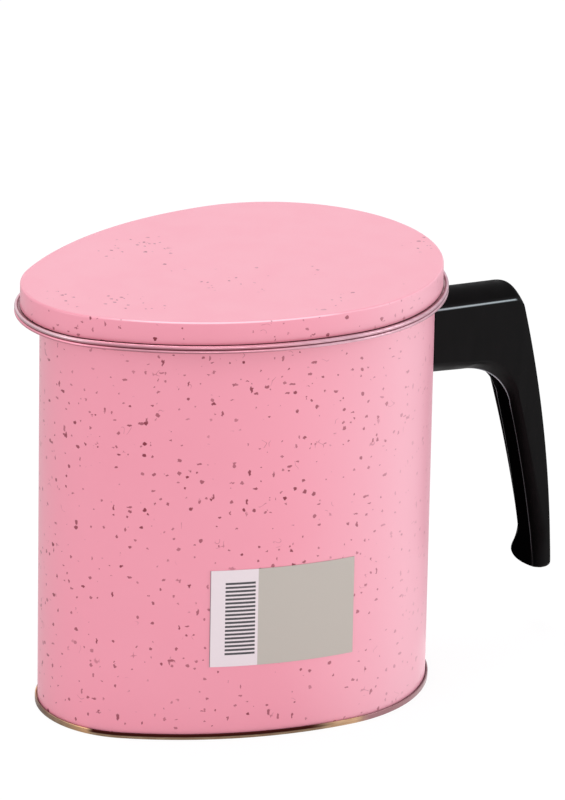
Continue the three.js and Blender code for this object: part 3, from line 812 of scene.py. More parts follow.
@dataclass(frozen=True)
class Plan:
    """An egg-shaped plan of two end circles joined by two long side arcs, in millimetres."""

    tip_x: float
    tip_radius: float
    big_x: float
    big_radius: float
    side_radius: float
    big_steps: int = 40
    side_steps: int = 34
    tip_steps: int = 30

    @property
    def stations(self) -> int:
        """How many points go round the plan."""
        return 2 * (self.big_steps + self.side_steps + self.tip_steps)

    def side_centre(self) -> tuple[float, float]:
        """Finds the centre of the side arc at +Y.

        Returns:
            Its x and y.
        """
        half = (self.big_x - self.tip_x) / 2
        to_tip = self.side_radius - self.tip_radius
        to_big = self.side_radius - self.big_radius
        x = (to_tip**2 - to_big**2) / (4 * half)
        return (self.tip_x + self.big_x) / 2 + x, -math.sqrt(to_tip**2 - (x + half) ** 2)

    def angles(self) -> tuple[float, float]:
        """Finds where the side arc meets the big circle and the tip circle, as angles."""
        x, y = self.side_centre()
        return math.atan2(-y, self.big_x - x), math.atan2(-y, self.tip_x - x)

    def loop(self) -> list[tuple[Vector, Vector]]:
        """Goes once round the plan, from the handle end over +Y.

        Returns:
            A point and its outward direction at each station, in metres in the shared frame.
        """
        x, y = self.side_centre()
        at_big, at_tip = self.angles()
        arcs = (
            (self.big_x, 0.0, self.big_radius, 0.0, at_big, self.big_steps),
            (x, y, self.side_radius, at_big, at_tip, self.side_steps),
            (self.tip_x, 0.0, self.tip_radius, at_tip, math.pi, self.tip_steps),
        )
        upper = []
        for cx, cy, radius, start, end, steps in arcs:
            for i in range(steps):
                angle = start + (end - start) * i / steps
                out = Vector((math.cos(angle), math.sin(angle), 0.0))
                upper.append((shared(cx + radius * out.x, cy + radius * out.y), out))
        tip = [(shared(self.tip_x - self.tip_radius), Vector((-1.0, 0.0, 0.0)))]
        lower = [(Vector((p.x, -p.y, p.z)), Vector((n.x, -n.y, n.z))) for p, n in reversed(upper[1:])]
        return upper + tip + lower

    def reach(self, offset: float, half: float) -> tuple[float, float]:
        """Finds how far the plan, widened by an offset, runs along X at a distance from its middle line.

        Args:
            offset: How much wider than the plan.
            half: The distance from the middle line.

        Returns:
            The lowest and the highest x.
        """
        x, y = self.side_centre()
        tip = self.tip_radius + offset
        if half <= tip * math.sin(self.angles()[1]):
            low = self.tip_x - math.sqrt(tip**2 - half**2)
        else:
            low = x - math.sqrt((self.side_radius + offset) ** 2 - (half - y) ** 2)
        return low, self.big_x + math.sqrt((self.big_radius + offset) ** 2 - half**2)

    def half_width(self, offset: float, x: float) -> float:
        """Finds half the plan's width at an x, with the plan widened by an offset.

        Args:
            offset: How much wider than the plan.
            x: The place along X.

        Returns:
            Half the width there, or 0 past either end.
        """
        side_x, side_y = self.side_centre()
        at_big, at_tip = self.angles()
        big, tip = self.big_radius + offset, self.tip_radius + offset
        if x > self.big_x + big * math.cos(at_big):
            return math.sqrt(max(0.0, big**2 - (x - self.big_x) ** 2))
        if x < self.tip_x + tip * math.cos(at_tip):
            return math.sqrt(max(0.0, tip**2 - (x - self.tip_x) ** 2))
        return side_y + math.sqrt((self.side_radius + offset) ** 2 - (x - side_x) ** 2)


BODY_PLAN = Plan(-27.75, 32.5, 27.75, 49.0, 130.0)
RIM_PLAN = Plan(-33.25, 34.0, 23.25, 55.5, 117.0)
WALL_X = BODY_PLAN.big_x + BODY_PLAN.big_radius


def shared(x: float = 0.0, y: float = 0.0, z: float = 0.0) -> Vector:
    """Turns millimetres from the middle of the body's plan into metres in the shared frame."""
    return Vector(((x - MIDDLE_X) * MM, y * MM, z * MM))


def on_plan(point: Vector) -> tuple[float, float]:
    """Turns a point in metres in the shared frame back into the plan's x and y in millimetres."""
    return point.x / MM + MIDDLE_X, point.y / MM


def eased(share: float) -> float:
    """Eases a share in and out, kept between 0 and 1."""
    kept = min(1.0, max(0.0, share))
    return kept * kept * (3 - 2 * kept)


def arc(x: float, z: float, radius: float, start: float, end: float, steps: int) -> Outline:
    """Gives the points of an arc. Its angles are in degrees from outward, turning up."""
    turns = (math.radians(start + (end - start) * i / steps) for i in range(steps + 1))
    return [(x + radius * math.cos(a), z + radius * math.sin(a)) for a in turns]


def object_of(name: str, data: bpy.types.ID) -> Object:
    """Puts a mesh, a lamp or a camera in the scene.

    Args:
        name: The object's name.
        data: Its mesh, placed in the shared frame, or the lamp's or the camera's data.

    Returns:
        The object, at the origin.
    """
    made = bpy.data.objects.new(name, data)
    bpy.context.scene.collection.objects.link(made)
    return made


def mesh_of(
    name: str,
    points: Sequence[Sequence[float]],
    faces: Sequence[Sequence[int]] = (),
    edges: Sequence[Sequence[int]] = (),
    **traits: Sequence[float],
) -> Mesh:
    """Makes a mesh from lists.

    Args:
        name: The mesh's name.
        points: Its vertices, in metres.
        faces: Its faces.
        edges: Its loose edges.
        **traits: A number at each vertex, for each named attribute.

    Returns:
        The mesh.
    """
    mesh = bpy.data.meshes.new(name)
    mesh.from_pydata([tuple(p) for p in points], list(edges), list(faces))
    for title, values in traits.items():
        mesh.attributes.new(title, "FLOAT", "POINT").data.foreach_set("value", values)
    mesh.update()
    return mesh


def smooth(mesh: Mesh) -> Mesh:
    """Smooths what is not a real edge.

    Args:
        mesh: The mesh.

    Returns:
        The same mesh.
    """
    mesh.shade_smooth()
    mesh.set_sharp_from_angle(angle=SMOOTH_ANGLE)
    return mesh


def tidy(mesh: Mesh) -> Mesh:
    """Merges doubles, turns the faces outwards and smooths what is not a real edge.

    Args:
        mesh: A closed mesh.

    Returns:
        The same mesh.
    """
    work = bmesh.new()
    work.from_mesh(mesh)
    bmesh.ops.remove_doubles(work, verts=work.verts, dist=WELD)
    bmesh.ops.recalc_face_normals(work, faces=work.faces)
    work.to_mesh(mesh)
    work.free()
    return smooth(mesh)


def freeze(holder: Object) -> Mesh:
    """Turns an object with live modifiers into a plain mesh and removes the object.

    Args:
        holder: The object.

    Returns:
        The mesh that its modifiers give, named after the object.
    """
    name = holder.name
    graph = bpy.context.evaluated_depsgraph_get()
    mesh = bpy.data.meshes.new_from_object(holder.evaluated_get(graph), depsgraph=graph)
    bpy.data.objects.remove(holder, do_unlink=True)
    mesh.name = name
    return mesh


def grow(holder: Object, tree: NodeTree, values: Mapping[str, Any]) -> Mesh:
    """Runs a Geometry Nodes tree on an object and removes the object.

    Args:
        holder: The object.
        tree: The tree.
        values: A value for each of the tree's named inputs.

    Returns:
        The mesh that the tree gives.
    """
    modifier = holder.modifiers.new(tree.name, "NODES")
    modifier.node_group = tree
    for item in tree.interface.items_tree:
        if item.in_out == "INPUT" and item.name in values:
            modifier[item.identifier] = values[item.name]
    return freeze(holder)


def new_tree(name: str, **inputs: str) -> tuple[TreeMaker, Mapping[str, Socket]]:
    """Starts a Geometry Nodes tree.

    Args:
        name: The tree's name.
        **inputs: The socket type of each named input after Geometry, with underscores for spaces.

    Returns:
        The tree's maker and its inputs by name.
    """
    tree = bpy.data.node_groups.new(name, "GeometryNodeTree")
    tree.interface.new_socket(name="Geometry", in_out="INPUT", socket_type="NodeSocketGeometry")
    for title, kind in inputs.items():
        name = title.replace("_", " ")
        tree.interface.new_socket(name=name, in_out="INPUT", socket_type=f"NodeSocket{kind}")
    tree.interface.new_socket(name="Geometry", in_out="OUTPUT", socket_type="NodeSocketGeometry")
    make = TreeMaker(tree)
    return make, make.node("NodeGroupInput").outputs


def end_tree(make: TreeMaker, geometry: Socket, finish: Socket) -> None:
    """Ends a tree with Realize Instances and Set Material.

    Args:
        make: The tree's maker.
        geometry: What the tree has made.
        finish: The socket that names the material.
    """
    real = make.out("GeometryNodeRealizeInstances", {"Geometry": geometry})
    dressed = make.out("GeometryNodeSetMaterial", {"Geometry": real, "Material": finish})
    make.node("NodeGroupOutput", {"Geometry": dressed})


@dataclass(frozen=True)
class Corner:
    """One corner of a sheet-metal profile: how far outside which plan, how high, and whether on the plan."""

    offset: float
    height: float
    plan: PlanName = PlanName.BODY
    spread: float = 1.0


def corners(outline: Outline, plan: PlanName = PlanName.BODY) -> list[Corner]:
    """Turns an outline of offsets and heights into corners on one plan."""
    return [Corner(offset, height, plan) for offset, height in outline]


def cap(height: float) -> Corner:
    """Gives the corner that closes a sheet at its middle, at a height."""
    return Corner(0.0, height, spread=0.0)


def bead(height: float, steps: int, settle: float = 0.0) -> list[Corner]:
    """Gives the corners of a rolled bead on the rim, from under its flange round to its top.

    Args:
        height: The bead's middle.
        steps: How many pieces it has.
        settle: How far its underside has settled onto what is below it.

    Returns:
        The corners.
    """
    opening = math.degrees(math.asin(SHEET / 2 / BEAD_RADIUS))
    top, drawn = height + BEAD_RADIUS, 1 + settle / (2 * BEAD_RADIUS)
    outline = arc(RIM_BEAD_OFFSET, height, BEAD_RADIUS, opening - 180, 180 - opening, steps)
    return corners([(x, top - (top - z) * drawn) for x, z in outline], PlanName.RIM)


class SheetSweep:
    """Sweeps profiles round the pot's two matched plans with one Geometry Nodes tree."""

    def __init__(self) -> None:
        """Makes the two plans and the tree."""
        self.plans = {
            "Body Plan": self._plan_object("body_plan", BODY_PLAN),
            "Rim Plan": self._plan_object("rim_plan", RIM_PLAN),
        }
        self.tree = self._build_tree()

    @staticmethod
    def _plan_object(name: str, plan: Plan) -> Object:
        """Makes loose points on a plan that carry their outward directions.

        Args:
            name: The object's name.
            plan: The plan.

        Returns:
            The object.
        """
        loop = plan.loop()
        mesh = mesh_of(name, [p for p, _ in loop])
        outward = mesh.attributes.new("outward", "FLOAT_VECTOR", "POINT")
        outward.data.foreach_set("vector", [c for _, n in loop for c in n])
        return object_of(name, mesh)

    def _build_tree(self) -> NodeTree:
        """Builds the tree: a grid of stations by corners, each point put at its plan, offset and height.

        Returns:
            The tree.
        """
        plans = {title.replace(" ", "_"): "Object" for title in self.plans}
        make, value = new_tree(
            "sheet_sweep", Stations="Int", Corners="Int", Cap_Centre="Vector", **plans, Finish="Material"
        )
        columns = make.math("ADD", value["Stations"], 1)
        size = {"Vertices X": columns, "Vertices Y": value["Corners"]}
        grid = make.out("GeometryNodeMeshGrid", size, "Mesh")
        index = make.out("GeometryNodeInputIndex")
        column = make.math("FLOOR", make.math("DIVIDE", make.math("ADD", index, 0.5), value["Corners"]))
        station = make.math("FLOORED_MODULO", column, value["Stations"])
        corner = make.math("SUBTRACT", index, make.product(column, value["Corners"]))

        def sampled(geometry: Socket, field_socket: Socket, at: Socket, kind: str) -> Socket:
            """Reads a value of a geometry at an index."""
            inputs = {"Geometry": geometry, "Value": field_socket, "Index": at}
            return make.out("GeometryNodeSampleIndex", inputs, "Value", data_type=kind)

        def trait(name: str) -> Socket:
            """Reads a trait of the point's corner."""
            return sampled(value["Geometry"], make.attribute(name), corner, "FLOAT")

        plans = ({"Object": value[title]} for title in self.plans)
        loops = [make.out("GeometryNodeObjectInfo", plan, "Geometry") for plan in plans]
        share, spread = trait("plan"), trait("spread")

        def blended(field_socket: Socket) -> Socket:
            """Blends a value of the two plans at the point's station."""
            body, rim = (sampled(loop, field_socket, station, "FLOAT_VECTOR") for loop in loops)
            return make.vector("ADD", make.scaled(body, make.rest(share)), make.scaled(rim, share))

        outward = make.scaled(blended(make.attribute("outward", "FLOAT_VECTOR")), trait("offset"))
        edge = make.vector("ADD", blended(make.out("GeometryNodeInputPosition")), outward)
        drawn_in = make.scaled(value["Cap Centre"], make.rest(spread))
        flat = make.vector("ADD", make.scaled(edge, spread), drawn_in)
        position = make.vector("ADD", flat, make.upright(trait("height")))
        swept = make.out("GeometryNodeSetPosition", {"Geometry": grid, "Position": position})
        merged = make.out("GeometryNodeMergeByDistance", {"Geometry": swept, "Distance": WELD})
        end_tree(make, merged, value["Finish"])
        return make.tree

    def mesh(self, name: str, profile: list[Corner], finish: Finish, closed: bool = True) -> Mesh:
        """Sweeps one profile.

        Args:
            name: The mesh's name.
            profile: The corners, in order round the section.
            finish: The finish.
            closed: Whether the last corner joins the first; if not, both ends are caps.

        Returns:
            The closed sheet body.
        """
        used = [*profile, profile[0]] if closed else profile
        strip = mesh_of(
            f"{name}_profile",
            [(0, 0, i * MM) for i in range(len(used))],
            offset=[c.offset * MM for c in used],
            height=[c.height * MM for c in used],
            plan=[c.plan.value for c in used],
            spread=[c.spread for c in used],
        )
        values = {
            "Stations": BODY_PLAN.stations,
            "Corners": len(used),
            "Cap Centre": shared(),
            "Finish": finish.material(),
            **self.plans,
        }
        return tidy(grow(object_of(name, strip), self.tree, values))

    def clear(self) -> None:
        """Removes the two plans once every sheet is made."""
        for plan in self.plans.values():
            bpy.data.objects.remove(plan, do_unlink=True)


def one_finish(mesh: Mesh, finish: Finish) -> Mesh:
    """Gives a whole mesh one finish, in place of any that it has.

    Args:
        mesh: The mesh.
        finish: The finish.

    Returns:
        The same mesh.
    """
    mesh.materials.clear()
    mesh.materials.append(finish.material())
    return mesh


def second_finish(mesh: Mesh, finish: Finish, chosen: Callable[[Face], bool]) -> None:
    """Gives some faces another finish.

    Args:
        mesh: The mesh.
        finish: The other finish.
        chosen: Says whether a face takes it.
    """
    mesh.materials.append(finish.material())
    for face in mesh.polygons:
        if chosen(face):
            face.material_index = len(mesh.materials) - 1


def faces_in(face: Face) -> bool:
    """Says whether a face of a wall looks in to the pot's middle or down from under a top.

    Args:
        face: The face.

    Returns:
        Whether it does.
    """
    flat, inward_share = 0.9, 0.5
    normal, from_middle = face.normal, face.center - shared()
    if normal.z < -flat:
        return face.center.z > BODY_TOP * MM
    outward = normal.x * from_middle.x + normal.y * from_middle.y
    most = math.hypot(from_middle.x, from_middle.y) * math.hypot(normal.x, normal.y)
    return abs(normal.z) < flat and outward < -inward_share * most


def faces_on_bead(face: Face) -> bool:
    """Says whether a face belongs to a rolled bead or to the flange just inside it."""
    x, y = on_plan(face.center)
    return abs(y) > RIM_PLAN.half_width(-SHEET, x)


def faces_on_flange(face: Face) -> bool:
    """Says whether a face belongs to the top of the flange that carries a rolled bead, where shade is
    painted.

    Args:
        face: The face.

    Returns:
        Whether it does.
    """
    level = 0.3
    x, y = on_plan(face.center)
    outer = RIM_PLAN.half_width(RIM_BEAD_OFFSET - BEAD_RADIUS, x)
    return RIM_PLAN.half_width(FLANGE_SHADE_FROM, x) < abs(y) < outer and face.normal.z > level


def finished(name: str, mesh: Mesh, body: str, slot: str, *nodes: str) -> Object:
    """Puts a finished piece in the scene on its body, in place of its CAD nodes.

    Args:
        name: The piece's name.
        mesh: Its mesh.
        body: The CAD body that it rides on.
        slot: The record's material slot; not used.
        *nodes: The CAD nodes that it stands for.

    Returns:
        The piece.
    """
    piece = object_of(name, mesh)
    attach(piece, body)
    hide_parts(*nodes)
    LOG.info("%s: %d faces, rides on %s, stands for %s", name, len(mesh.polygons), body, ", ".join(nodes))
    return piece


def turned(name: str, outline: Outline, steps: int = 48) -> Mesh:
    """Turns an outline about the Z axis.

    Args:
        name: The mesh's name.
        outline: Radius and height at each point, in millimetres. A radius of 0 closes an end.
        steps: How many steps go round.

    Returns:
        The turned mesh, about the origin.
    """
    points, faces = [], []
    for i in range(steps):
        angle = 2 * math.pi * i / steps
        points += [(r * MM * math.cos(angle), r * MM * math.sin(angle), z * MM) for r, z in outline]
    count = len(outline)
    for i in range(steps):
        a, b = i * count, ((i + 1) % steps) * count
        faces += [(a + j, b + j, b + j + 1, a + j + 1) for j in range(count - 1)]
    return tidy(mesh_of(name, points, faces))


def cut_away(mesh: Mesh, cutters: Sequence[Mesh]) -> Mesh:
    """Cuts closed meshes out of a mesh.

    Args:
        mesh: The mesh.
        cutters: What is cut out of it.

    Returns:
        The new mesh.
    """
    holder = object_of(mesh.name, mesh)
    tools = [object_of(f"cutter_{i}", cutter) for i, cutter in enumerate(cutters)]
    for tool in tools:
        modifier = holder.modifiers.new(tool.name, "BOOLEAN")
        modifier.object = tool
        modifier.operation = "DIFFERENCE"
        modifier.solver = "EXACT"
    made = freeze(holder)
    for tool in tools:
        bpy.data.objects.remove(tool, do_unlink=True)
    return tidy(made)


def box_mesh(low: Vector, high: Vector) -> Mesh:
    """Makes a plain box for cutting.

    Args:
        low: Its lowest corner.
        high: Its highest corner.

    Returns:
        The mesh.
    """
    points = [(x, y, z) for x in (low.x, high.x) for y in (low.y, high.y) for z in (low.z, high.z)]
    faces = [(0, 1, 3, 2), (4, 6, 7, 5), (0, 4, 5, 1), (2, 3, 7, 6), (0, 2, 6, 4), (1, 5, 7, 3)]
    return mesh_of("box", points, faces)


@dataclass
class PotBody:
    """The standing pot: painted wall, seamed bottom, bare collar and stuck-on label.

    The seam's inside and outside are offsets from the body's plan.
    """

    sweep: SheetSweep
    bend: float = 0.4
    straight: float = 0.5
    flange: float = 1.5
    flange_ease: float = 0.1
    foot: float = 0.95
    seam_height: float = 2.0
    seam_inside: float = SEAT_GAP
    seam_outside: float = 0.9
    seam_round: float = 0.25
    seam_fold: float = 0.65
    panel: float = 3.5
    panel_lap: float = 3.0
    sleeve: float = 7.0
    collar_bend: float = 0.5
    bead_steps: int = 22
    label_width: float = 49.9
    label_height: float = 34.4
    label_low: float = 25.9
    label_off: float = 0.04
    label_thick: float = 0.22
    label_steps: tuple[int, int] = (40, 6)

    def wall(self) -> Mesh:
        """Makes the painted wall with its turned-out top flange.

        Returns:
            The mesh.
        """
        bend, flange, ease, top, under = self.bend, self.flange, self.flange_ease, BODY_TOP, BODY_TOP - SHEET
        ends = (self.foot, self.foot + self.straight, under - 2 * bend)
        outline = [(0.0, z) for z in ends]
        outline += arc(bend, under - bend, bend, 180, 90, 4)
        outline += [(flange - ease, under), (flange, under + ease)]
        outline += [(flange, top - ease), (flange - ease, top)]
        outline += arc(bend, under - bend, bend + SHEET, 90, 180, 5)
        outline += [(-SHEET, z) for z in reversed(ends)]
        mesh = self.sweep.mesh("painted_wall", corners(outline), PAINT)
        second_finish(mesh, INNER_TIN, faces_in)
        return mesh

    def bottom(self) -> Mesh:
        """Makes the bottom panel and the rolled seam that the pot stands on.

        Returns:
            The mesh.
        """
        rounding, inside, out = self.seam_round, self.seam_inside, self.seam_outside - self.seam_round
        panel, high, lap = self.panel, self.seam_height - rounding, SLEEVE_INNER - self.panel_lap
        outline = [(lap, panel + SHEET), (SLEEVE_INNER, panel + SHEET), (SLEEVE_OUTER, panel)]
        outline += [(SLEEVE_OUTER, self.seam_fold), (inside, self.seam_fold), (inside, high)]
        outline += arc(inside + rounding, high, rounding, 180, 90, 4)[1:]
        outline += arc(out, high, rounding, 90, 0, 4)[1:]
        outline += arc(out, rounding, rounding, 0, -90, 4)
        outline += arc(SLEEVE_INNER + rounding, rounding, rounding, -90, -180, 4)
        outline += arc(SLEEVE_INNER - rounding, panel - rounding, rounding, 0, 90, 4)
        outline += [(lap, panel)]
        profile = [cap(panel + SHEET), *corners(outline), cap(panel)]
        return self.sweep.mesh("seamed_bottom", profile, GOLD_LACQUER, closed=False)

    def collar(self) -> Mesh:
        """Makes the bare collar: a sleeve in the wall, a flange over it and a rolled bead.

        Returns:
            The mesh.
        """
        z, low, bend = COLLAR_Z, BODY_TOP - self.sleeve, self.collar_bend
        outside = [(SLEEVE_OUTER, low), (SLEEVE_OUTER, z - 2 * bend)]
        outside += arc(SLEEVE_OUTER + bend, z - bend, bend, 180, 90, 4)
        inside = arc(SLEEVE_OUTER + bend, z - bend, bend + SHEET, 90, 180, 5)
        inside += [(SLEEVE_INNER, z - 2 * bend), (SLEEVE_INNER, low)]
        profile = corners(outside) + bead(z + SHEET / 2, self.bead_steps) + corners(inside)
        mesh = self.sweep.mesh("rolled_collar", profile, TINPLATE)
        second_finish(mesh, COLLAR_TIN, faces_on_bead)
        return mesh

    def label(self) -> Mesh:
        """Makes the label, stuck to the front wall, with a map of its print.

        Returns:
            The mesh.
        """
        across, up = self.label_steps
        side_x, side_y = BODY_PLAN.side_centre()
        start = BODY_PLAN.angles()[0]
        points = []
        for off in (self.label_off, self.label_off + self.label_thick):
            radius = BODY_PLAN.side_radius + off
            for i in range(across + 1):
                angle = start + self.label_width / BODY_PLAN.side_radius * i / across
                x, y = side_x + radius * math.cos(angle), -side_y - radius * math.sin(angle)
                points += [shared(x, y, self.label_low + self.label_height * j / up) for j in range(up + 1)]
        row, layer = up + 1, (across + 1) * (up + 1)
        faces = []
        for a in (i * row + j for i in range(across) for j in range(up)):
            faces += [(a, a + 1, a + row + 1, a + row)]
            faces += [(layer + a, layer + a + row, layer + a + row + 1, layer + a + 1)]
        rim = [i * row for i in range(across)] + [across * row + j for j in range(up)]
        rim += [i * row + up for i in range(across, 0, -1)] + list(range(up, 0, -1))
        faces += [(a, b, b + layer, a + layer) for a, b in zip(rim, rim[1:] + rim[:1])]
        mesh = tidy(mesh_of("stuck_label", points, faces))
        print_map = mesh.uv_layers.new(name=PRINT_MAP)
        for loop in mesh.loops:
            point = mesh.vertices[loop.vertex_index].co
            x, y = on_plan(point)
            turn = math.atan2(-y - side_y, x - side_x) - start
            u = 1 - turn * BODY_PLAN.side_radius / self.label_width
            v = (point.z / MM - self.label_low) / self.label_height
            print_map.data[loop.index].uv = (u, v)
        return one_finish(mesh, PAPER)

    def build(self) -> None:
        """Makes and places every piece of the pot's body."""
        finished("painted_wall", self.wall(), "pot", "speckled_paint", "body_shell")
        finished("seamed_bottom", self.bottom(), "pot", "gold_lacquer", "bottom_end")
        finished("rolled_collar", self.collar(), "pot", "tinplate", "pouring_collar")
        finished("stuck_label", self.label(), "pot", "paper", "product_label")


@dataclass
class Strainer:
    """The lift-out strainer: a drawn pan with a rolled edge, woven gauze and a ring that clamps it."""

    sweep: SheetSweep
    depth: float = 20.0
    lip: float = 4.0
    bend: float = 0.7
    shoulder: float = 0.5
    straight: float = 0.5
    gauze_rise: float = 1.5
    pitch: float = 1.8
    wire: float = 0.13
    wire_sides: int = 4
    wave: float = 0.14
    ring_rise: float = 2.0
    ring_height: float = 0.8
    ring_width: float = 3.4
    ring_ease: float = 0.2
    settle: float = 0.2
    bead_steps: int = 22

    @property
    def floor(self) -> float:
        """The height of the underside of the pan's ledge."""
        return PAN_Z + SHEET - self.depth

    def pan(self) -> Mesh:
        """Makes the drawn pan.

        Returns:
            The mesh.
        """
        z, low, shoulder, outer_bend = PAN_Z, self.floor, self.shoulder, self.bend + SHEET
        lip, turn, rise = PAN_INNER - self.lip, PAN_OUTER - outer_bend, low + outer_bend
        outside = [(lip, low), (turn - self.straight, low)]
        outside += arc(turn, rise, outer_bend, -90, 0, 6)
        outside += [(PAN_OUTER, rise + self.straight), (PAN_OUTER, z - 2 * shoulder)]
        outside += arc(PAN_OUTER + shoulder, z - shoulder, shoulder, 180, 90, 4)
        inside = arc(PAN_OUTER + shoulder, z - shoulder, shoulder + SHEET, 90, 180, 5)
        inside += [(PAN_INNER, z - 2 * shoulder), (PAN_INNER, rise + self.straight)]
        inside += arc(turn, rise, self.bend, 0, -90, 6)
        inside += [(turn - self.straight, low + SHEET), (lip, low + SHEET)]
        rolled = bead(z + SHEET / 2, self.bead_steps, self.settle)
        # A corner where the painted shade on the flange starts.
        flange_shade_corner = corners([(FLANGE_SHADE_FROM, z + SHEET)], PlanName.RIM)
        profile = corners(outside) + rolled + flange_shade_corner + corners(inside)
        mesh = self.sweep.mesh("strainer_pan_sheet", profile, TINPLATE)
        second_finish(mesh, RIM_TIN, faces_on_bead)
        # Painted shade on the flange under the lid's skirt.
        second_finish(mesh, RIM_SHADE, faces_on_flange)
        return mesh

    def ring(self) -> Mesh:
        """Makes the flat ring that holds the gauze down.

        Returns:
            The mesh.
        """
        ease, outer, low = self.ring_ease, PAN_INNER - SEAT_GAP, self.floor + self.ring_rise
        inner, high = outer - self.ring_width, low + self.ring_height
        outline = [(inner + ease, low), (outer - ease, low), (outer, low + ease), (outer, high - ease)]
        outline += [(outer - ease, high), (inner + ease, high), (inner, high - ease), (inner, low + ease)]
        return self.sweep.mesh("clamp_ring", corners(outline), TINPLATE)

    def _wires(self) -> Mesh:
        """Lays out both sets of wires as straight runs that end at the pan's wall.

        Returns:
            The runs, each point with the side that its set starts on.
        """
        edge = PAN_INNER - SEAT_GAP - self.wire
        points, edges, sides = [], [], []

        def stops(low: float, high: float, pitch: float) -> list[float]:
            """Gives the multiples of a pitch from one place to another."""
            return [n * pitch for n in range(math.ceil(low / pitch), math.floor(high / pitch) + 1)]

        def run(low: float, high: float, at: float, side: float) -> None:
            """Adds one wire of a set, with a point at each crossing and midway between.

            Args:
                low: Where it starts.
                high: Where it ends.
                at: Its distance from the middle, across the wires of its set.
                side: 1 for a wire along X, and -1 for one across.
            """
            first = len(points)
            for stop in stops(low, high, self.pitch / 2):
                points.append((stop, at) if side > 0 else (at, stop))
                sides.append(side)
            edges.extend((i, i + 1) for i in range(first, len(points) - 1))

        widest = BODY_PLAN.big_radius + edge
        for at in stops(-widest, widest, self.pitch):
            run(*BODY_PLAN.reach(edge, abs(at)), at, 1.0)
        for at in stops(*BODY_PLAN.reach(edge, 0.0), self.pitch):
            half = BODY_PLAN.half_width(edge, at)
            run(-half, half, at, -1.0)
        placed = [shared(x, y, self.floor + self.gauze_rise) for x, y in points]
        return mesh_of("gauze_wires", placed, (), edges, side=sides)

    def gauze(self) -> Mesh:
        """Weaves the gauze with a Geometry Nodes tree.

        Returns:
            The mesh.
        """
        make, value = new_tree(
            "woven_gauze", Pitch="Float", Wave="Float", Wire="Float", Middle="Vector", Finish="Material"
        )
        place = make.vector("SUBTRACT", make.out("GeometryNodeInputPosition"), value["Middle"])
        x, y, _ = make.split(make.scaled(place, make.math("DIVIDE", math.pi, value["Pitch"])))
        crossing = make.product(make.math("COSINE", x), make.math("COSINE", y))
        lift = make.upright(make.product(crossing, make.attribute("side"), value["Wave"]))
        waved = make.out("GeometryNodeSetPosition", {"Geometry": value["Geometry"], "Offset": lift})
        runs = make.out("GeometryNodeMeshToCurve", {"Mesh": waved})
        circle = {"Resolution": self.wire_sides, "Radius": value["Wire"]}
        round_wire = make.out("GeometryNodeCurvePrimitiveCircle", circle, "Curve")
        inputs = {"Curve": runs, "Profile Curve": round_wire, "Fill Caps": True}
        wires = make.out("GeometryNodeCurveToMesh", inputs)
        end_tree(make, make.out("GeometryNodeSetShadeSmooth", {"Geometry": wires}), value["Finish"])
        values = {
            "Pitch": self.pitch * MM,
            "Wave": self.wave * MM,
            "Wire": self.wire * MM,
            "Middle": shared(),
            "Finish": GAUZE_WIRE.material(),
        }
        return grow(object_of("woven_gauze", self._wires()), make.tree, values)

    def build(self) -> None:
        """Makes and places every piece of the strainer."""
        finished("strainer_pan_sheet", self.pan(), "strainer", "tinplate", "strainer_pan")
        finished("clamp_ring", self.ring(), "strainer", "tinplate", "mesh_clamp_ring")
        finished("woven_gauze", self.gauze(), "strainer", "wire_gauze", "strainer_mesh")


@dataclass
class Lid:
    """The loose lid: a flat painted top, a rounded edge and a skirt with its hem turned in.

    The hem's shares are of the sheet, and say how far in its cut edge reaches and starts.
    """

    sweep: SheetSweep
    height: float = 7.7
    rounding: float = 0.7
    top_lap: float = 10.0
    hem: float = 2.0
    hem_flat: float = 0.5
    hem_end: float = 0.15
    hem_clear: float = 0.4
    hem_shares: Span = (1.7, 1.05)
    seating: float = 0.27

    def shell(self) -> Mesh:
        """Makes the lid in one sheet.

        Returns:
            The mesh.
        """
        low, top, r, lap = LID_Z - self.seating, LID_Z + self.height, self.rounding, -self.top_lap
        hem, blunt, gap = low + self.hem, *(-share * SHEET for share in self.hem_shares)
        fold = arc(-SHEET, low + SHEET, SHEET, 0, -180, 8)
        outside = [(lap, top), (-2 * r, top), *arc(-r, top - r, r, 90, 0, 7), (0.0, top - 2 * r)]
        outside += [(0.0, low + 2 * SHEET), *((x, low + (z - low) * self.hem_flat) for x, z in fold)]
        inside = [(-2 * SHEET, hem), (blunt, hem + self.hem_end), (gap, hem + self.hem_end)]
        inside += [(-SHEET, hem + self.hem_clear), (-SHEET, top - 2 * r)]
        inside += [*arc(-r, top - r, r - SHEET, 0, 90, 4), (-2 * r, top - SHEET), (lap, top - SHEET)]
        profile = [cap(top), *corners(outside + inside, PlanName.RIM), cap(top - SHEET)]
        mesh = self.sweep.mesh("painted_lid", profile, PAINT, closed=False)
        second_finish(mesh, INNER_TIN, faces_in)
        return mesh

    def build(self) -> None:
        """Makes and places the lid."""
        finished("painted_lid", self.shell(), "lid", "speckled_paint", "lid_shell")


@dataclass(frozen=True)
class Station:
    """One station along the handle: its two edge points, half widths, bulges, groove, painted highlights and
    painted shade.
    """

    inner: Vector
    outer: Vector
    inner_half: float
    outer_half: float
    crown: float
    inner_crown: float = 0.0
    groove: float = 0.0
    inner_highlight: float = 0.0
    outer_highlight: float = 0.0
    shade: float = 0.0
    crown_shade: float = 0.0


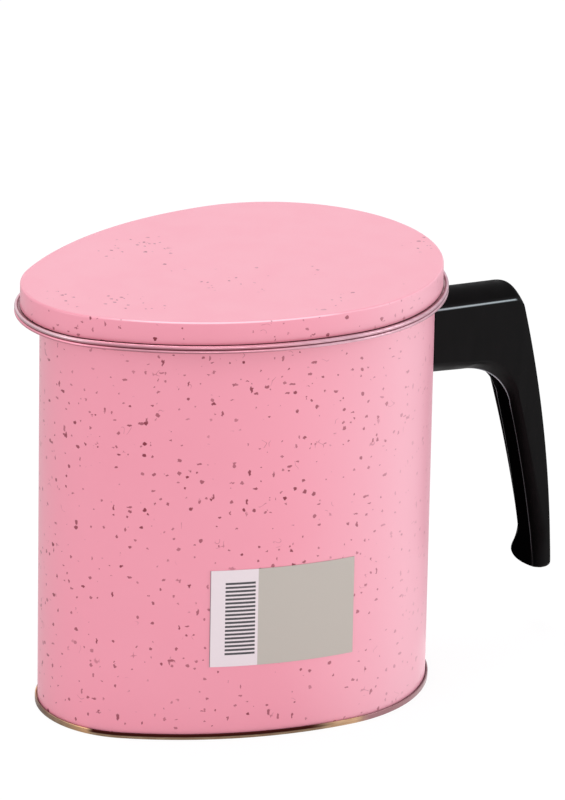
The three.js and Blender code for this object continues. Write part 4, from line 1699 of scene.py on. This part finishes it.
@dataclass(frozen=True)
class HandlePaintedLight:
    """How strong the handle's painted edge highlights and painted shade are, over stretches counted in
    stations.
    """

    inner_least: float = 0.3
    inner_rise: float = 0.7
    inner_rise_over: float = 8.0
    inner_fall: float = 0.9
    inner_fall_over: float = 16.0
    outer: float = 0.7
    outer_fall_over: float = 5.0
    shade_over: float = 12.0
    crown: float = 0.45
    crown_fall_over: float = 6.0

    def at(self, past_arm: int, turn: int, toe: float) -> dict[str, float]:
        """Gives the painted highlights and painted shade of one station.

        Args:
            past_arm: How many stations it is past the arm.
            turn: How many stations the corner has.
            toe: How far the grip has spread into its toe.

        Returns:
            The station's values of painted highlight and painted shade, by name.
        """
        past_bend, past_turn = past_arm - turn / 2, past_arm - turn
        inner = self.inner_least + self.inner_rise * eased(past_arm / self.inner_rise_over)
        inner -= self.inner_fall * eased(past_bend / self.inner_fall_over)
        return {
            "inner_highlight": inner * (1 - toe),
            "outer_highlight": self.outer * (1 - eased(past_arm / self.outer_fall_over)),
            "shade": eased(past_bend / self.shade_over),
            "crown_shade": self.crown * (1 - eased(past_turn / self.crown_fall_over)),
        }


# Points across half of the handle's groove, as shares of its depth, of its eased edge's depth, of its half
# width and of the ease. The land beside it has points at shares of its own width.
GROOVE_SHARES = (
    (1.0, 0.0, 0.0, 0.0),
    (1.0, 0.0, 0.5, 0.0),
    (1.0, 0.0, 1.0, -2.2),
    (1.0, -0.3, 1.0, -1.3),
    (0.5, 0.0, 1.0, -0.7),
    (0.0, 0.6, 1.0, -0.25),
    (0.0, 0.0, 1.0, 0.3),
)
LAND_SHARES = (0.7, 0.45, 0.2)


@dataclass
class HandleFixing:
    """The moulded handle with the saddle, rivets, screw, washer and nut that hold it.

    Its top and its foot are heights, the bow's middle is so far under the foot, and distances out are from
    the wall's face. The steps are those of the arm, the corner, the grip and the toe.
    """

    arm_top: float = 126.4
    arm_height: float = 24.7
    arm_fall: float = 1.0
    out: float = 53.3
    foot: float = 23.6
    outer_corner: float = 4.0
    inner_corner: float = 20.0
    bow_radius: float = 467.0
    bow_drop: float = 17.5
    depth_top: float = 9.2
    depth_waist: float = 5.6
    depth_toe: float = 6.7
    waist_rise: float = 11.0
    crown: float = 2.6
    toe_crown: float = 1.8
    outer_half: float = 10.2
    inner_half: float = 4.3
    toe_half: float = 7.6
    foot_half: float = 9.0
    flare: float = 5.5
    flare_power: float = 1.6
    flare_share: float = 0.8
    edge_round: float = 1.2
    highlight_share: float = 0.03
    toe_round: float = 2.2
    heel_round: float = 2.2
    groove_half: float = 3.7
    groove_depth: float = 3.0
    groove_rise: float = 16.0
    groove_fade: float = 6.0
    groove_ease: float = 0.35
    groove_land: float = 0.4
    groove_stations: tuple[int, int] = (-2, 3)
    steps: tuple[int, int, int, int] = (14, 20, 60, 12)
    flare_steps: int = 12
    side_steps: int = 3
    edge_steps: int = 6
    crown_steps: int = 9
    painted_light_plan: HandlePaintedLight = HandlePaintedLight()
    bracket_face: float = 1.5
    tongue_length: float = 16.0
    tongue_width: float = 11.0
    tongue_thick: float = 1.6
    sheared_ease: float = 0.2
    nut_height: float = 2.8
    washer_thick: float = 0.8
    screw_out: float = 9.0
    screw_sink: float = 4.5
    screw_hole: float = 2.3
    screw_radius: float = 2.0
    screw_point: float = 0.4
    screw_head: Sequence[Span] = ((0.0, 2.2), (2.2, 2.15), (2.9, 1.9), (3.3, 1.5), (3.5, 1.0), (3.5, 0.0))
    slot_reach: float = 5.0
    slot_half: float = 0.4
    slot_depths: Span = (4.0, 1.4)
    sink_hole: float = 3.8
    past_bottom: float = 3.0
    past_socket: float = 1.0
    rivet_spacing: Span = (11.0, 9.0)
    rivet_head: float = 2.8
    rivet_rise: float = 1.0
    rivet_shank: float = 1.4
    rivet_ease: float = 0.2
    rivet_steps: int = 8

    @property
    def middle(self) -> float:
        """The height of the saddle's middle."""
        return self.arm_top - self.arm_height / 2

    @property
    def bottom(self) -> float:
        """The height of the arm's underside at the wall."""
        return self.arm_top - self.arm_height

    @property
    def tongue_half(self) -> float:
        """Half the tongue's thickness and its gap."""
        return self.tongue_thick / 2 + SEAT_GAP

    @property
    def at_screw(self) -> Matrix:
        """The move from the origin to the screw's axis."""
        return Matrix.Translation(shared(WALL_X + self.bracket_face + self.screw_out))

    def _sag(self, z: float) -> float:
        """How far the long curve of the grip has fallen back at a height."""
        rise = z - (self.foot - self.bow_drop)
        return self.bow_radius - math.sqrt(self.bow_radius**2 - rise**2)

    def _outer_x(self, z: float) -> float:
        """Where the grip's outer edge is at a height, from the wall's face."""
        return self.out - self.crown + self._sag(self.foot + self.toe_round) - self._sag(z)

    def _toe_share(self, z: float) -> float:
        """How far the grip has spread from its waist into its toe at a height, from 0 to 1."""
        waist = self.foot + self.waist_rise
        return eased((waist - z) / (self.waist_rise - self.toe_round))

    def _inner_x(self, z: float) -> float:
        """Finds where the grip's inner edge is at a height.

        Args:
            z: The height.

        Returns:
            Its distance from the wall's face.
        """
        waist = self.foot + self.waist_rise
        top = self.bottom - self.arm_fall - self.inner_corner
        if z >= waist:
            depth = self.depth_waist + (self.depth_top - self.depth_waist) * (z - waist) / (top - waist)
        else:
            depth = self.depth_waist + (self.depth_toe - self.depth_waist) * self._toe_share(z)
        return self._outer_x(z) - depth

    def _edge_line(self, root_z: float, radius: float, grip_x: Callable[[float], float]) -> list[Vector]:
        """Follows one edge of the handle along the arm, round its corner and down to the foot.

        Args:
            root_z: The edge's height at the wall.
            radius: The corner's radius.
            grip_x: The edge's place on the grip at a height.

        Returns:
            Points of x from the wall's face and z above the floor.
        """
        arm, turn, grip, _ = self.steps
        centre_z = root_z - self.arm_fall - radius
        lean = math.atan2(grip_x(centre_z - radius) - grip_x(centre_z), radius)
        centre_x = grip_x(centre_z) - radius / math.cos(lean)
        root_x, shares = self.bracket_face + SEAT_GAP, [i / arm for i in range(arm)]
        line = [Vector((root_x + (centre_x - root_x) * s, root_z - self.arm_fall * s)) for s in shares]
        angles = (math.pi / 2 + (lean - math.pi / 2) * i / turn for i in range(turn))
        line += [Vector((centre_x + radius * math.cos(a), centre_z + radius * math.sin(a))) for a in angles]
        start = centre_z + radius * math.sin(lean)
        heights = (start + (self.foot + self.toe_round - start) * i / grip for i in range(grip + 1))
        return line + [Vector((grip_x(z), z)) for z in heights]

    def _section(self, at: Station, depth: float) -> list[tuple[float, float, float]]:
        """Gives half of the handle's section, from the middle of its inner side to that of its outer.

        Args:
            at: The station.
            depth: From its inner edge line to its outer.

        Returns:
            Points of distance out from the inner edge line, y and painted light: a painted highlight above 0,
            painted shade below.
        """
        ease, half = self.groove_ease, min(self.groove_half, at.inner_half - self.groove_land)
        edge = min(ease, at.groove)
        inner = [(a * at.groove + b * edge, c * half + d * ease) for a, b, c, d in GROOVE_SHARES]
        land = at.inner_half - inner[-1][1]
        inner += [(0.0, at.inner_half - land * share) for share in LAND_SHARES]
        # Painted shade on the groove and the grip's inner side.
        points = [(d - at.inner_crown * (1 - (y / at.inner_half) ** 2), y, -at.shade) for d, y in inner]
        straight = depth - self.edge_round
        flare = min(self.flare, straight * self.flare_share)
        widening = at.outer_half - at.inner_half
        # Painted highlight along the inner edge, then painted shade across the flare.
        painted_lights = {0.0: at.inner_highlight, self.highlight_share: at.inner_highlight / 2}
        shares = (i / self.flare_steps for i in range(1, self.flare_steps + 1))
        painted_lights |= {share: at.shade * (share - 1) for share in shares}
        for share, painted_light in painted_lights.items():
            points.append((flare * share, at.outer_half - widening * (1 - share) ** self.flare_power, painted_light))
        sides = (i / self.side_steps for i in range(1, self.side_steps + 1))
        points += [(flare + (straight - flare) * share, at.outer_half, 0.0) for share in sides]
        tilt = math.atan2(2 * at.crown, at.outer_half - self.edge_round)
        # Painted highlight along the outer top edge.
        for i in range(1, self.edge_steps + 1):
            angle = (math.pi / 2 - tilt) * i / self.edge_steps
            y = at.outer_half - self.edge_round * (1 - math.cos(angle))
            painted_light = at.outer_highlight * max(0.0, 1 - abs(i - (self.edge_steps + 1) / 2) / 2)
            points.append((straight + self.edge_round * math.sin(angle), y, painted_light))
        last_d, last_y, _ = points[-1]
        rise = depth + at.crown - last_d
        # Painted shade on the arm's top.
        for left in (1 - i / self.crown_steps for i in range(1, self.crown_steps + 1)):
            points.append((last_d + rise * (1 - left**2), last_y * left, -at.crown_shade))
        return points

    def _stations(self) -> list[Station]:
        """Sets the handle's stations.

        Returns:
            The stations, from the wall to the foot.
        """
        arm, turn, grip, end = self.steps
        inner = self._edge_line(self.bottom, self.inner_corner, self._inner_x)
        outer = self._edge_line(self.arm_top, self.outer_corner, self._outer_x)
        groove_from, groove_to = self.groove_stations
        stations = []
        for i, (a, b) in enumerate(zip(inner, outer)):
            share = max(0, i - arm - turn) / grip
            fade_out = min(1.0, max(0.0, (a.y - self.foot - self.groove_rise) / self.groove_fade))
            toe = self._toe_share(a.y)
            deepened = eased((i - arm - groove_from) / (groove_to - groove_from))
            stations.append(Station(
                inner=a,
                outer=b,
                inner_half=self.inner_half + (self.toe_half - self.inner_half) * toe,
                outer_half=self.outer_half + (self.foot_half - self.outer_half) * share,
                crown=self.crown,
                inner_crown=self.toe_crown * toe,
                groove=self.groove_depth * deepened * math.sqrt(fade_out),
                **self.painted_light_plan.at(i - arm, turn, toe),
            ))
        last = stations[-1]
        for i in range(1, end + 1):
            angle = math.pi / 2 * i / end
            turned_share, drop = 1 - math.cos(angle), self.toe_round * math.sin(angle)
            kept = 1 - turned_share / 2
            stations.append(Station(
                inner=Vector((last.inner.x + self.toe_round * turned_share, last.inner.y - drop)),
                outer=Vector((last.outer.x - self.heel_round * turned_share, last.outer.y - drop)),
                inner_half=last.inner_half - self.heel_round * turned_share,
                outer_half=last.outer_half - self.heel_round * turned_share,
                crown=last.crown * kept,
                inner_crown=last.inner_crown * kept,
                shade=last.shade * kept,
            ))
        return stations

    def _loft(self) -> Mesh:
        """Lofts the handle's sections and keeps the painted highlight and painted shade of each point.

        Returns:
            The mesh.
        """
        points, painted_lights, faces = [], [], []
        stations = self._stations()
        for at in stations:
            depth = (at.outer - at.inner).length
            out = (at.outer - at.inner) / depth
            half = self._section(at, depth)
            for d, y, painted_light in [*half, *[(d, -y, painted_light) for d, y, painted_light in reversed(half[1:-1])]]:
                points.append(shared(WALL_X + at.inner.x + out.x * d, y, at.inner.y + out.y * d))
                painted_lights.append(painted_light)
        count = len(points) // len(stations)
        around = [(j, (j + 1) % count) for j in range(count)]
        for low in range(0, len(points) - count, count):
            faces += [(low + a, low + b, low + count + b, low + count + a) for a, b in around]
        for start in (0, len(points) - count):
            points.append(sum(points[start:start + count], Vector()) / count)
            painted_lights.append(0.0)
            faces += [(start + a, start + b, len(points) - 1) for a, b in around]
        return tidy(mesh_of("moulded_handle", points, faces, **{PAINTED_LIGHT: painted_lights}))

    def handle(self) -> Mesh:
        """Makes the handle with its socket, screw hole and sunk seat for the screw.

        Returns:
            The mesh.
        """
        reach = self.bracket_face + self.tongue_length + SEAT_GAP
        half, low = self.tongue_width / 2 + SEAT_GAP, self.middle - self.tongue_half
        high = self.middle + self.tongue_half + self.nut_height + SEAT_GAP
        socket = box_mesh(shared(WALL_X, -half, low), shared(WALL_X + reach, half, high))
        start = self.bottom - self.past_bottom
        ends = {self.screw_hole: low + self.past_socket, self.sink_hole: self.bottom + self.screw_sink}
        holes = [turned("hole", [(0, start), (r, start), (r, end), (0, end)]) for r, end in ends.items()]
        for hole in holes:
            hole.transform(self.at_screw)
        return one_finish(cut_away(self._loft(), [socket, *holes]), PHENOLIC)

    def rivets(self) -> Mesh:
        """Sets the four rivets square to the wall with a Geometry Nodes tree.

        Returns:
            The mesh.
        """
        make, value = new_tree("set_rivets", Rivet="Object", Finish="Material")
        rivet = make.out("GeometryNodeObjectInfo", {"Object": value["Rivet"]}, "Geometry")
        turn = make.upright(make.attribute("turn"))
        inputs = {"Points": value["Geometry"], "Instance": rivet, "Rotation": turn}
        end_tree(make, make.out("GeometryNodeInstanceOnPoints", inputs), value["Finish"])
        radius, shank = BODY_PLAN.big_radius, self.rivet_shank
        head, end = radius - SHEET - SEAT_GAP, radius + self.bracket_face - SEAT_GAP / 2
        angles = (math.pi / 2 * i / self.rivet_steps for i in range(self.rivet_steps + 1))
        outline = [(self.rivet_head * math.sin(a), head - self.rivet_rise * math.cos(a)) for a in angles]
        outline += [(shank, head), (shank, end - self.rivet_ease), (shank - self.rivet_ease, end), (0, end)]
        pattern = object_of("rivet", turned("rivet", outline))
        pattern.data.transform(Matrix.Rotation(math.pi / 2, 4, "Y"))
        across, up = self.rivet_spacing
        angle = math.asin(across / 2 / radius)
        spots = [(sy * angle, self.middle + sz * up / 2) for sz in (-1, 1) for sy in (-1, 1)]
        places = [shared(BODY_PLAN.big_x, 0, z) for _, z in spots]
        holder = object_of("saddle_rivets", mesh_of("rivet_spots", places, turn=[turn for turn, _ in spots]))
        mesh = grow(holder, make.tree, {"Rivet": pattern, "Finish": ZINC_STEEL.material()})
        bpy.data.objects.remove(pattern, do_unlink=True)
        return smooth(mesh)

    def screw(self) -> Mesh:
        """Makes the slotted screw that is seen in the sunk seat under the arm.

        Returns:
            The mesh.
        """
        seat = self.bottom + self.screw_sink - self.washer_thick - 2 * SEAT_GAP
        top = self.middle + self.tongue_half + self.nut_height
        radius, point = self.screw_radius, self.screw_point
        outline = [(r, seat - low) for r, low in self.screw_head]
        outline += [(radius, seat), (radius, top - point), (radius - point, top), (0.0, top)]
        reach, half = self.slot_reach, self.slot_half
        low, high = (seat - depth for depth in self.slot_depths)
        slot = box_mesh(Vector((-reach, -half, low)) * MM, Vector((reach, half, high)) * MM)
        mesh = cut_away(turned("slotted_screw", outline), [slot])
        mesh.transform(self.at_screw)
        return one_finish(mesh, ZINC_STEEL)

    def saddle(self, node: Object) -> Mesh:
        """Makes the saddle from its CAD shape with its sheared edges eased.

        Args:
            node: The CAD saddle.

        Returns:
            The eased mesh.
        """
        flat, least_turn = math.radians(0.5), math.radians(40)
        copy = node.data.copy()
        work = bmesh.new()
        work.from_mesh(copy)
        bmesh.ops.remove_doubles(work, verts=work.verts, dist=WELD)
        bmesh.ops.dissolve_limit(work, angle_limit=flat, verts=work.verts, edges=work.edges)
        work.to_mesh(copy)
        work.free()
        holder = object_of("eased_saddle", copy)
        ease = holder.modifiers.new("ease", "BEVEL")
        ease.width = self.sheared_ease * MM
        ease.segments = 2
        ease.limit_method = "ANGLE"
        ease.angle_limit = least_turn
        return one_finish(smooth(freeze(holder)), ZINC_STEEL)

    def build(self, nodes: Mapping[str, Object]) -> None:
        """Makes and places the handle and all that holds it.

        Args:
            nodes: The CAD nodes by name.
        """
        finished("moulded_handle", self.handle(), "pot", "black_phenolic", "handle")
        finished("eased_saddle", self.saddle(nodes["handle_bracket"]), "pot", "steel", "handle_bracket")
        finished("saddle_rivets", self.rivets(), "pot", "steel", *(f"bracket_rivet_{i}" for i in range(1, 5)))
        finished("slotted_screw", self.screw(), "pot", "steel", "handle_screw")
        for name in ("lock_washer", "clamp_nut"):
            for place in nodes[name].material_slots:
                place.material = ZINC_STEEL.material()
            LOG.info("%s: the CAD solid, finished as zinc-plated steel", name)


@dataclass(frozen=True)
class Lamp:
    """A square soft lamp: its name, its place and its side in metres, and its power in watts."""

    name: str
    place: tuple[float, float, float]
    size: float
    power: float

    def hang(self, aim: Vector) -> None:
        """Hangs the lamp so that it points at a spot.

        Args:
            aim: The spot, in metres.
        """
        data = bpy.data.lights.new(self.name, "AREA")
        data.shape = "SQUARE"
        data.size = self.size
        data.energy = self.power
        lamp = object_of(self.name, data)
        lamp.location = self.place
        lamp.rotation_euler = (lamp.location - aim).to_track_quat("Z", "Y").to_euler()


@dataclass
class Studio:
    """The plain pale room: floor, lamps, surroundings and the camera of the photograph.

    The camera's aim and distance are in millimetres, and the floor's half width is in metres.
    """

    azimuth: float = -27.926
    elevation: float = 21.214
    roll: float = -1.087
    distance: float = 2308.3
    lens: float = 315.0
    sensor: float = 36.0
    sees_to: float = 50.0
    aim_right: float = 27.849
    aim_up: float = -42.471
    aim_from: tuple[float, float, float] = (-5.0, 0.0, 150.0)
    floor_half: float = 6.0
    floor_colour: Colour = (0.86, 0.86, 0.86)
    floor_share: float = 0.85
    white: float = 1.06
    world_colour: Colour = (1.0, 1.0, 1.03)
    world_light: float = 0.65
    world_gloss: float = 1.3
    bright_side: float = -48.0
    bright_facing: Span = (0.45, 0.9)
    floor_gloss: Span = (0.65, 1.7)
    lamps_aim: tuple[float, float, float] = (0.0, 0.0, 0.08)
    lamps: tuple[Lamp, ...] = (
        Lamp("key_lamp", (-0.6, -2.2, 0.6), 1.2, 11.0),
        Lamp("fill_lamp", (-1.85, -0.25, 0.6), 1.1, 7.5),
        Lamp("side_lamp", (1.6, -1.35, 0.8), 0.9, 10.5),
        Lamp("top_lamp", (-0.1, 0.25, 1.75), 0.6, 8.5),
    )

    def camera(self) -> None:
        """Places the camera where the photograph was taken from."""
        a, e, r = (math.radians(v) for v in (self.azimuth, self.elevation, self.roll))
        right = Vector((math.cos(a), math.sin(a), 0.0))
        up = Vector((-math.sin(a) * math.sin(e), math.cos(a) * math.sin(e), math.cos(e)))
        back = Vector((math.sin(a) * math.cos(e), -math.cos(a) * math.cos(e), math.sin(e)))
        eye = shared(*self.aim_from) + (self.aim_right * right + self.aim_up * up + self.distance * back) * MM
        turned_right = math.cos(r) * right - math.sin(r) * up
        turned_up = math.sin(r) * right + math.cos(r) * up
        data = bpy.data.cameras.new("camera")
        data.lens = self.lens
        data.sensor_width = self.sensor
        data.clip_end = self.sees_to
        camera = object_of("camera", data)
        axes = Matrix((turned_right, turned_up, back)).transposed()
        camera.matrix_world = Matrix.Translation(eye) @ axes.to_4x4()
        bpy.context.scene.camera = camera

    def _brightness(self, make: TreeMaker, mirrored: Any, lit: float) -> Socket:
        """Makes the brightness of the surroundings for each kind of ray.

        Args:
            make: The material's tree.
            mirrored: The brightness in gloss and through glass.
            lit: The brightness that lights everything else.

        Returns:
            The brightness, which is white to the camera.
        """
        path = make.node("ShaderNodeLightPath").outputs
        gloss = make.math("MAXIMUM", path["Is Glossy Ray"], path["Is Transmission Ray"])
        unseen = make.math("MULTIPLY_ADD", gloss, make.math("SUBTRACT", mirrored, lit), lit)
        whiter = make.math("SUBTRACT", self.white, unseen)
        return make.math("MULTIPLY_ADD", path["Is Camera Ray"], whiter, unseen)

    def world(self) -> None:
        """Surrounds the pot with plain light."""
        world = bpy.data.worlds.new("studio")
        world.use_nodes = True
        world.node_tree.nodes.clear()
        make = TreeMaker(world.node_tree)
        strength = self._brightness(make, self.world_gloss, self.world_light)
        light = make.out("ShaderNodeBackground", {"Color": (*self.world_colour, 1), "Strength": strength})
        make.node("ShaderNodeOutputWorld", {"Surface": light})
        bpy.context.scene.world = world

    def floor(self) -> None:
        """Lays a pale floor: white to the camera but for the pot's shadow, brighter on one side in gloss."""
        half = self.floor_half
        points = [(-half, -half, 0), (half, -half, 0), (half, half, 0), (-half, half, 0)]
        mesh = mesh_of("floor", points, [(0, 1, 2, 3)])
        material = bpy.data.materials.new("pale_floor")
        material.use_nodes = True
        material.node_tree.nodes.clear()
        make = TreeMaker(material.node_tree)
        turn = math.radians(self.bright_side)
        place = make.vector("NORMALIZE", Finish.place(make))
        side = make.vector("DOT_PRODUCT", place, (math.cos(turn), math.sin(turn), 0), output="Value")
        brightness = self._brightness(make, make.ramp(side, *self.bright_facing, *self.floor_gloss), 0.0)
        matt = make.out("ShaderNodeBsdfDiffuse", {"Color": (*self.floor_colour, 1)})
        glow = make.out("ShaderNodeEmission", {"Color": (1, 1, 1, 1), "Strength": brightness})
        share = make.product(make.math("GREATER_THAN", brightness, 0.0), self.floor_share)
        mixed = make.out("ShaderNodeMixShader", {0: share, 1: matt, 2: glow})
        make.node("ShaderNodeOutputMaterial", {"Surface": mixed})
        mesh.materials.append(material)
        object_of("floor", mesh)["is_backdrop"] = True

    def build(self) -> None:
        """Sets up the camera, the surroundings, the floor and the lamps."""
        bpy.context.scene.view_settings.view_transform = "Standard"
        self.camera()
        self.world()
        self.floor()
        for lamp in self.lamps:
            lamp.hang(Vector(self.lamps_aim))


def main() -> None:
    """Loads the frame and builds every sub-assembly in order."""
    logging.basicConfig(level=logging.INFO, format="%(message)s")
    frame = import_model()
    cad_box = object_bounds()
    Studio().build()
    sweep = SheetSweep()
    for assembly in (PotBody(sweep), Strainer(sweep), Lid(sweep)):
        assembly.build()
    sweep.clear()
    HandleFixing().build(frame["nodes"])
    boxes = {"cad": cad_box, "visual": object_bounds()}
    for name, box in boxes.items():
        LOG.info("%s box: %s", name, np.round(np.array(box) / MM, 2).tolist())


if __name__ == "__main__":
    main()
